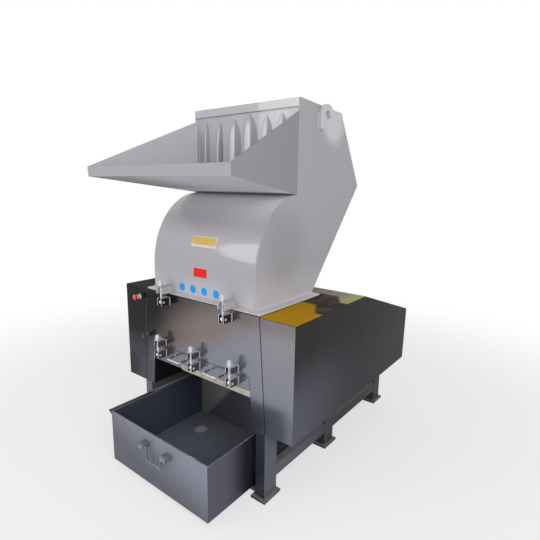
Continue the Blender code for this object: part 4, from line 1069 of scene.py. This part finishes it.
# Painted light on the faces that turn down and forward.
under = knuckle_paint.facing((0, -0.5, -0.86)).rise(0.1, 0.9)
worn = knuckle_paint.grain(60, 5).rise(0.40, 0.60)
knuckle_tone = knuckle_paint.mix(worn * 0.35, paint(96, 98, 108), paint(150, 146, 144))
knuckle_tone = knuckle_paint.mix(under * 0.75, knuckle_tone, paint(186, 180, 170))
knuckle_paint.give({"Base Color": knuckle_tone, "Roughness": 0.36 + 0.2 * worn})
collar_bore = bail_rod + 0.0004
collar_rim = bail_rod + 0.0030
collar = [(collar_bore, 0.0), (collar_rim, 0.0), (collar_rim, 0.0012), (collar_bore, 0.0016)]
for side, word in hands:
    near = bail_x + side * bail_half
    far = near + side * knuckle_wide
    nose = [(bin_front + knuckle_gap, pivot_z + knuckle_half)]
    nose += arc((pivot_y, pivot_z), knuckle_reach, knuckle_half, pi / 2, 1.5 * pi, 24)
    nose.append((bin_front + knuckle_gap, pivot_z - knuckle_half))
    knuckle = bmesh.new()
    plate(knuckle, nose, "X", near + side * knuckle_gap, far)
    made(f"bin_knuckle_{word}", knuckle, knuckle_paint, "graphite_paint", "bin", edge=0.0010)
    collar_ring = bmesh.new()
    spun(collar_ring, collar, (near - side * 0.0012, pivot_y, pivot_z), (side, 0, 0), 28)
    made(f"knuckle_collar_{word}", collar_ring, knuckle_paint, "graphite_paint", "bin")

bail_bar = Finish("bail_bar", {"Metallic": 0.2, "Specular IOR Level": 0.5})
handled = bail_bar.grain(60, 5).rise(0.42, 0.66)
bail_tone = bail_bar.mix(handled, paint(120, 122, 133), paint(86, 88, 99))
bail_bar.give({"Base Color": bail_tone, "Roughness": 0.34 + 0.2 * handled})
dress("bail_handle", bail_bar)


# Stop button and panel latch. A red mushroom head on a pale threaded barrel, and a turned boss with
# a flat grip, both screwed into the left of the front.
pale_plastic = Finish("pale_plastic", {"Roughness": 0.35, "Specular IOR Level": 0.5})
pale_tone = pale_plastic.mix(pale_plastic.grain(80, 4), paint(218, 215, 211), paint(190, 186, 178))
pale_plastic.give({"Base Color": pale_tone})
red_plastic = Finish("red_plastic", {"Specular IOR Level": 0.5, "Coat Weight": 0.4})
red_tone = red_plastic.mix(red_plastic.grain(90, 3), paint(222, 62, 48), paint(196, 40, 30))
red_plastic.give({"Base Color": red_tone, "Roughness": 0.30 + 0.15 * red_plastic.grain(50, 3)})
dress("stop_collar", pale_plastic, 0.0006)
button_low, button_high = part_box("stop_button")
button_x = (button_low.x + button_high.x) / 2
button_z = (button_low.z + button_high.z) / 2
button_radius = (button_high.x - button_low.x) / 2
button_depth = button_high.y - button_low.y
stem_radius = 0.006
head_depth = 0.013
dome_depth = 0.0065
profile = [(stem_radius, 0.0), (stem_radius, button_depth - head_depth)]
profile += [(0.9 * button_radius, button_depth - head_depth), (button_radius, button_depth - 0.0105)]
dome_middle = (0.18 * button_radius, button_depth - dome_depth)
profile += arc(dome_middle, 0.82 * button_radius, dome_depth, 0, pi / 2.15, 8)
button = bmesh.new()
spun(button, profile, (button_x, button_high.y, button_z), (0, -1, 0), 40)
made("stop_mushroom", button, red_plastic, "red_plastic", "stop_button", ("stop_button",))
latch_black = Finish("latch_black", {"Specular IOR Level": 0.4, "Roughness": 0.42})
# Small painted glints on the dark latch.
latch_glint = latch_black.grain(150, 4).rise(0.56, 0.62)
latch_tone = latch_black.mix(latch_glint * 0.7, paint(50, 50, 57), paint(176, 176, 182))
latch_black.give({"Base Color": latch_tone})
dress("latch_boss", latch_black, 0.0006)
dress("latch_knob", latch_black, 0.0015)


# Studio. A pale floor that runs on into a white surround, broad soft lamps ahead on both sides, two
# low fills that reach under the tray, and one small bright box on the left for the gloss.
ground = bmesh.new()
bmesh.ops.create_grid(ground, x_segments=1, y_segments=1, size=40)
floor_mesh = bpy.data.meshes.new("floor")
ground.to_mesh(floor_mesh)
ground.free()
floor = bpy.data.objects.new("floor", floor_mesh)
bpy.context.scene.collection.objects.link(floor)
floor_finish = Finish("pale_floor", {"Base Color": (0.86, 0.86, 0.86, 1), "Roughness": 0.9})
ray_kinds = ("Is Camera Ray", "Is Glossy Ray", "Is Transmission Ray")
direct, mirrored, passed = (floor_finish.node("ShaderNodeLightPath", output=kind) for kind in ray_kinds)
seen = direct.maths("MAXIMUM", direct + mirrored, passed)
seen = seen.maths("MINIMUM", seen, 1.0)
centre = {0: floor_finish.place}
far_off = floor_finish.node("ShaderNodeVectorMath", {"operation": "LENGTH"}, centre, output=1)
shown = seen * (0.62 + 0.38 * far_off.rise(1.5, 4.0))
glow = floor_finish.node("ShaderNodeEmission", sockets={"Color": (1, 1, 1, 1), "Strength": 1.0})
blend = floor_finish.node("ShaderNodeMixShader", sockets={0: shown, 2: glow})
floor_finish.tree.links.new(floor_finish.shader.outputs[0], blend.socket.node.inputs[1])
floor_finish.tree.links.new(blend.socket, floor_finish.tree.nodes["Material Output"].inputs["Surface"])
floor_mesh.materials.append(floor_finish.material)

world = bpy.data.worlds.new("white surround")
bpy.context.scene.world = world
world.use_nodes = True
sky = world.node_tree
background = sky.nodes["Background"]
background.inputs["Color"].default_value = (1, 1, 1, 1)
path = sky.nodes.new("ShaderNodeLightPath")
seen_by = path.outputs[ray_kinds[0]]
for kind in ray_kinds[1:]:
    either = sky.nodes.new("ShaderNodeMath")
    either.operation = "MAXIMUM"
    sky.links.new(seen_by, either.inputs[0])
    sky.links.new(path.outputs[kind], either.inputs[1])
    seen_by = either.outputs[0]
level = sky.nodes.new("ShaderNodeMapRange")
level.inputs["To Min"].default_value = 0.47
level.inputs["To Max"].default_value = 1.0
sky.links.new(seen_by, level.inputs["Value"])
sky.links.new(level.outputs[0], background.inputs["Strength"])


def lamp(name, place, aim, width, height, watts, only_gloss=False):
    light = bpy.data.lights.new(name, "AREA")
    light.shape = "ELLIPSE" if only_gloss else "RECTANGLE"
    light.size = width
    light.size_y = height
    light.energy = watts
    holder = bpy.data.objects.new(name, light)
    bpy.context.scene.collection.objects.link(holder)
    holder.location = place
    holder.rotation_euler = (Vector(aim) - Vector(place)).to_track_quat("-Z", "Y").to_euler()
    holder.visible_glossy = only_gloss
    holder.visible_diffuse = not only_gloss
    holder.visible_camera = False


lamp("left_softbox", (-2.4, -4.2, 3.8), (0, 0, 1.0), 3.0, 2.4, 42)
lamp("right_softbox", (4.4, -2.4, 3.0), (0, 0, 1.0), 3.0, 2.4, 105)
lamp("front_fill", (-0.6, -4.4, 1.2), (0, 0, 1.2), 3.0, 1.6, 24)
lamp("low_fill", (0.1, -2.2, 0.05), (0.1, -2.2, 2.0), 2.4, 1.0, 18)
lamp("gloss_box", (-1.95, -3.4, 2.45), (0.3, -0.4, 1.3), 1.40, 1.70, 38, only_gloss=True)

camera_data = bpy.data.cameras.new("camera")
camera_data.sensor_width = 36.0
camera_data.lens = 27.89
camera = bpy.data.objects.new("camera", camera_data)
bpy.context.scene.collection.objects.link(camera)
yaw, pitch, roll = 0.6557, 0.1938, 0.0167
ahead_line = Vector((-sin(yaw) * cos(pitch), cos(yaw) * cos(pitch), -sin(pitch)))
level_right = Vector((cos(yaw), sin(yaw), 0))
level_up = level_right.cross(ahead_line)
camera_right = cos(roll) * level_right + sin(roll) * level_up
camera_up = cos(roll) * level_up - sin(roll) * level_right
bpy.context.scene.camera = camera
camera.location = (1.60925, -1.996715, 1.558)
camera.rotation_mode = "QUATERNION"
camera.rotation_quaternion = Matrix((camera_right, camera_up, -ahead_line)).transposed().to_quaternion()
bpy.context.scene.view_settings.view_transform = "Standard"
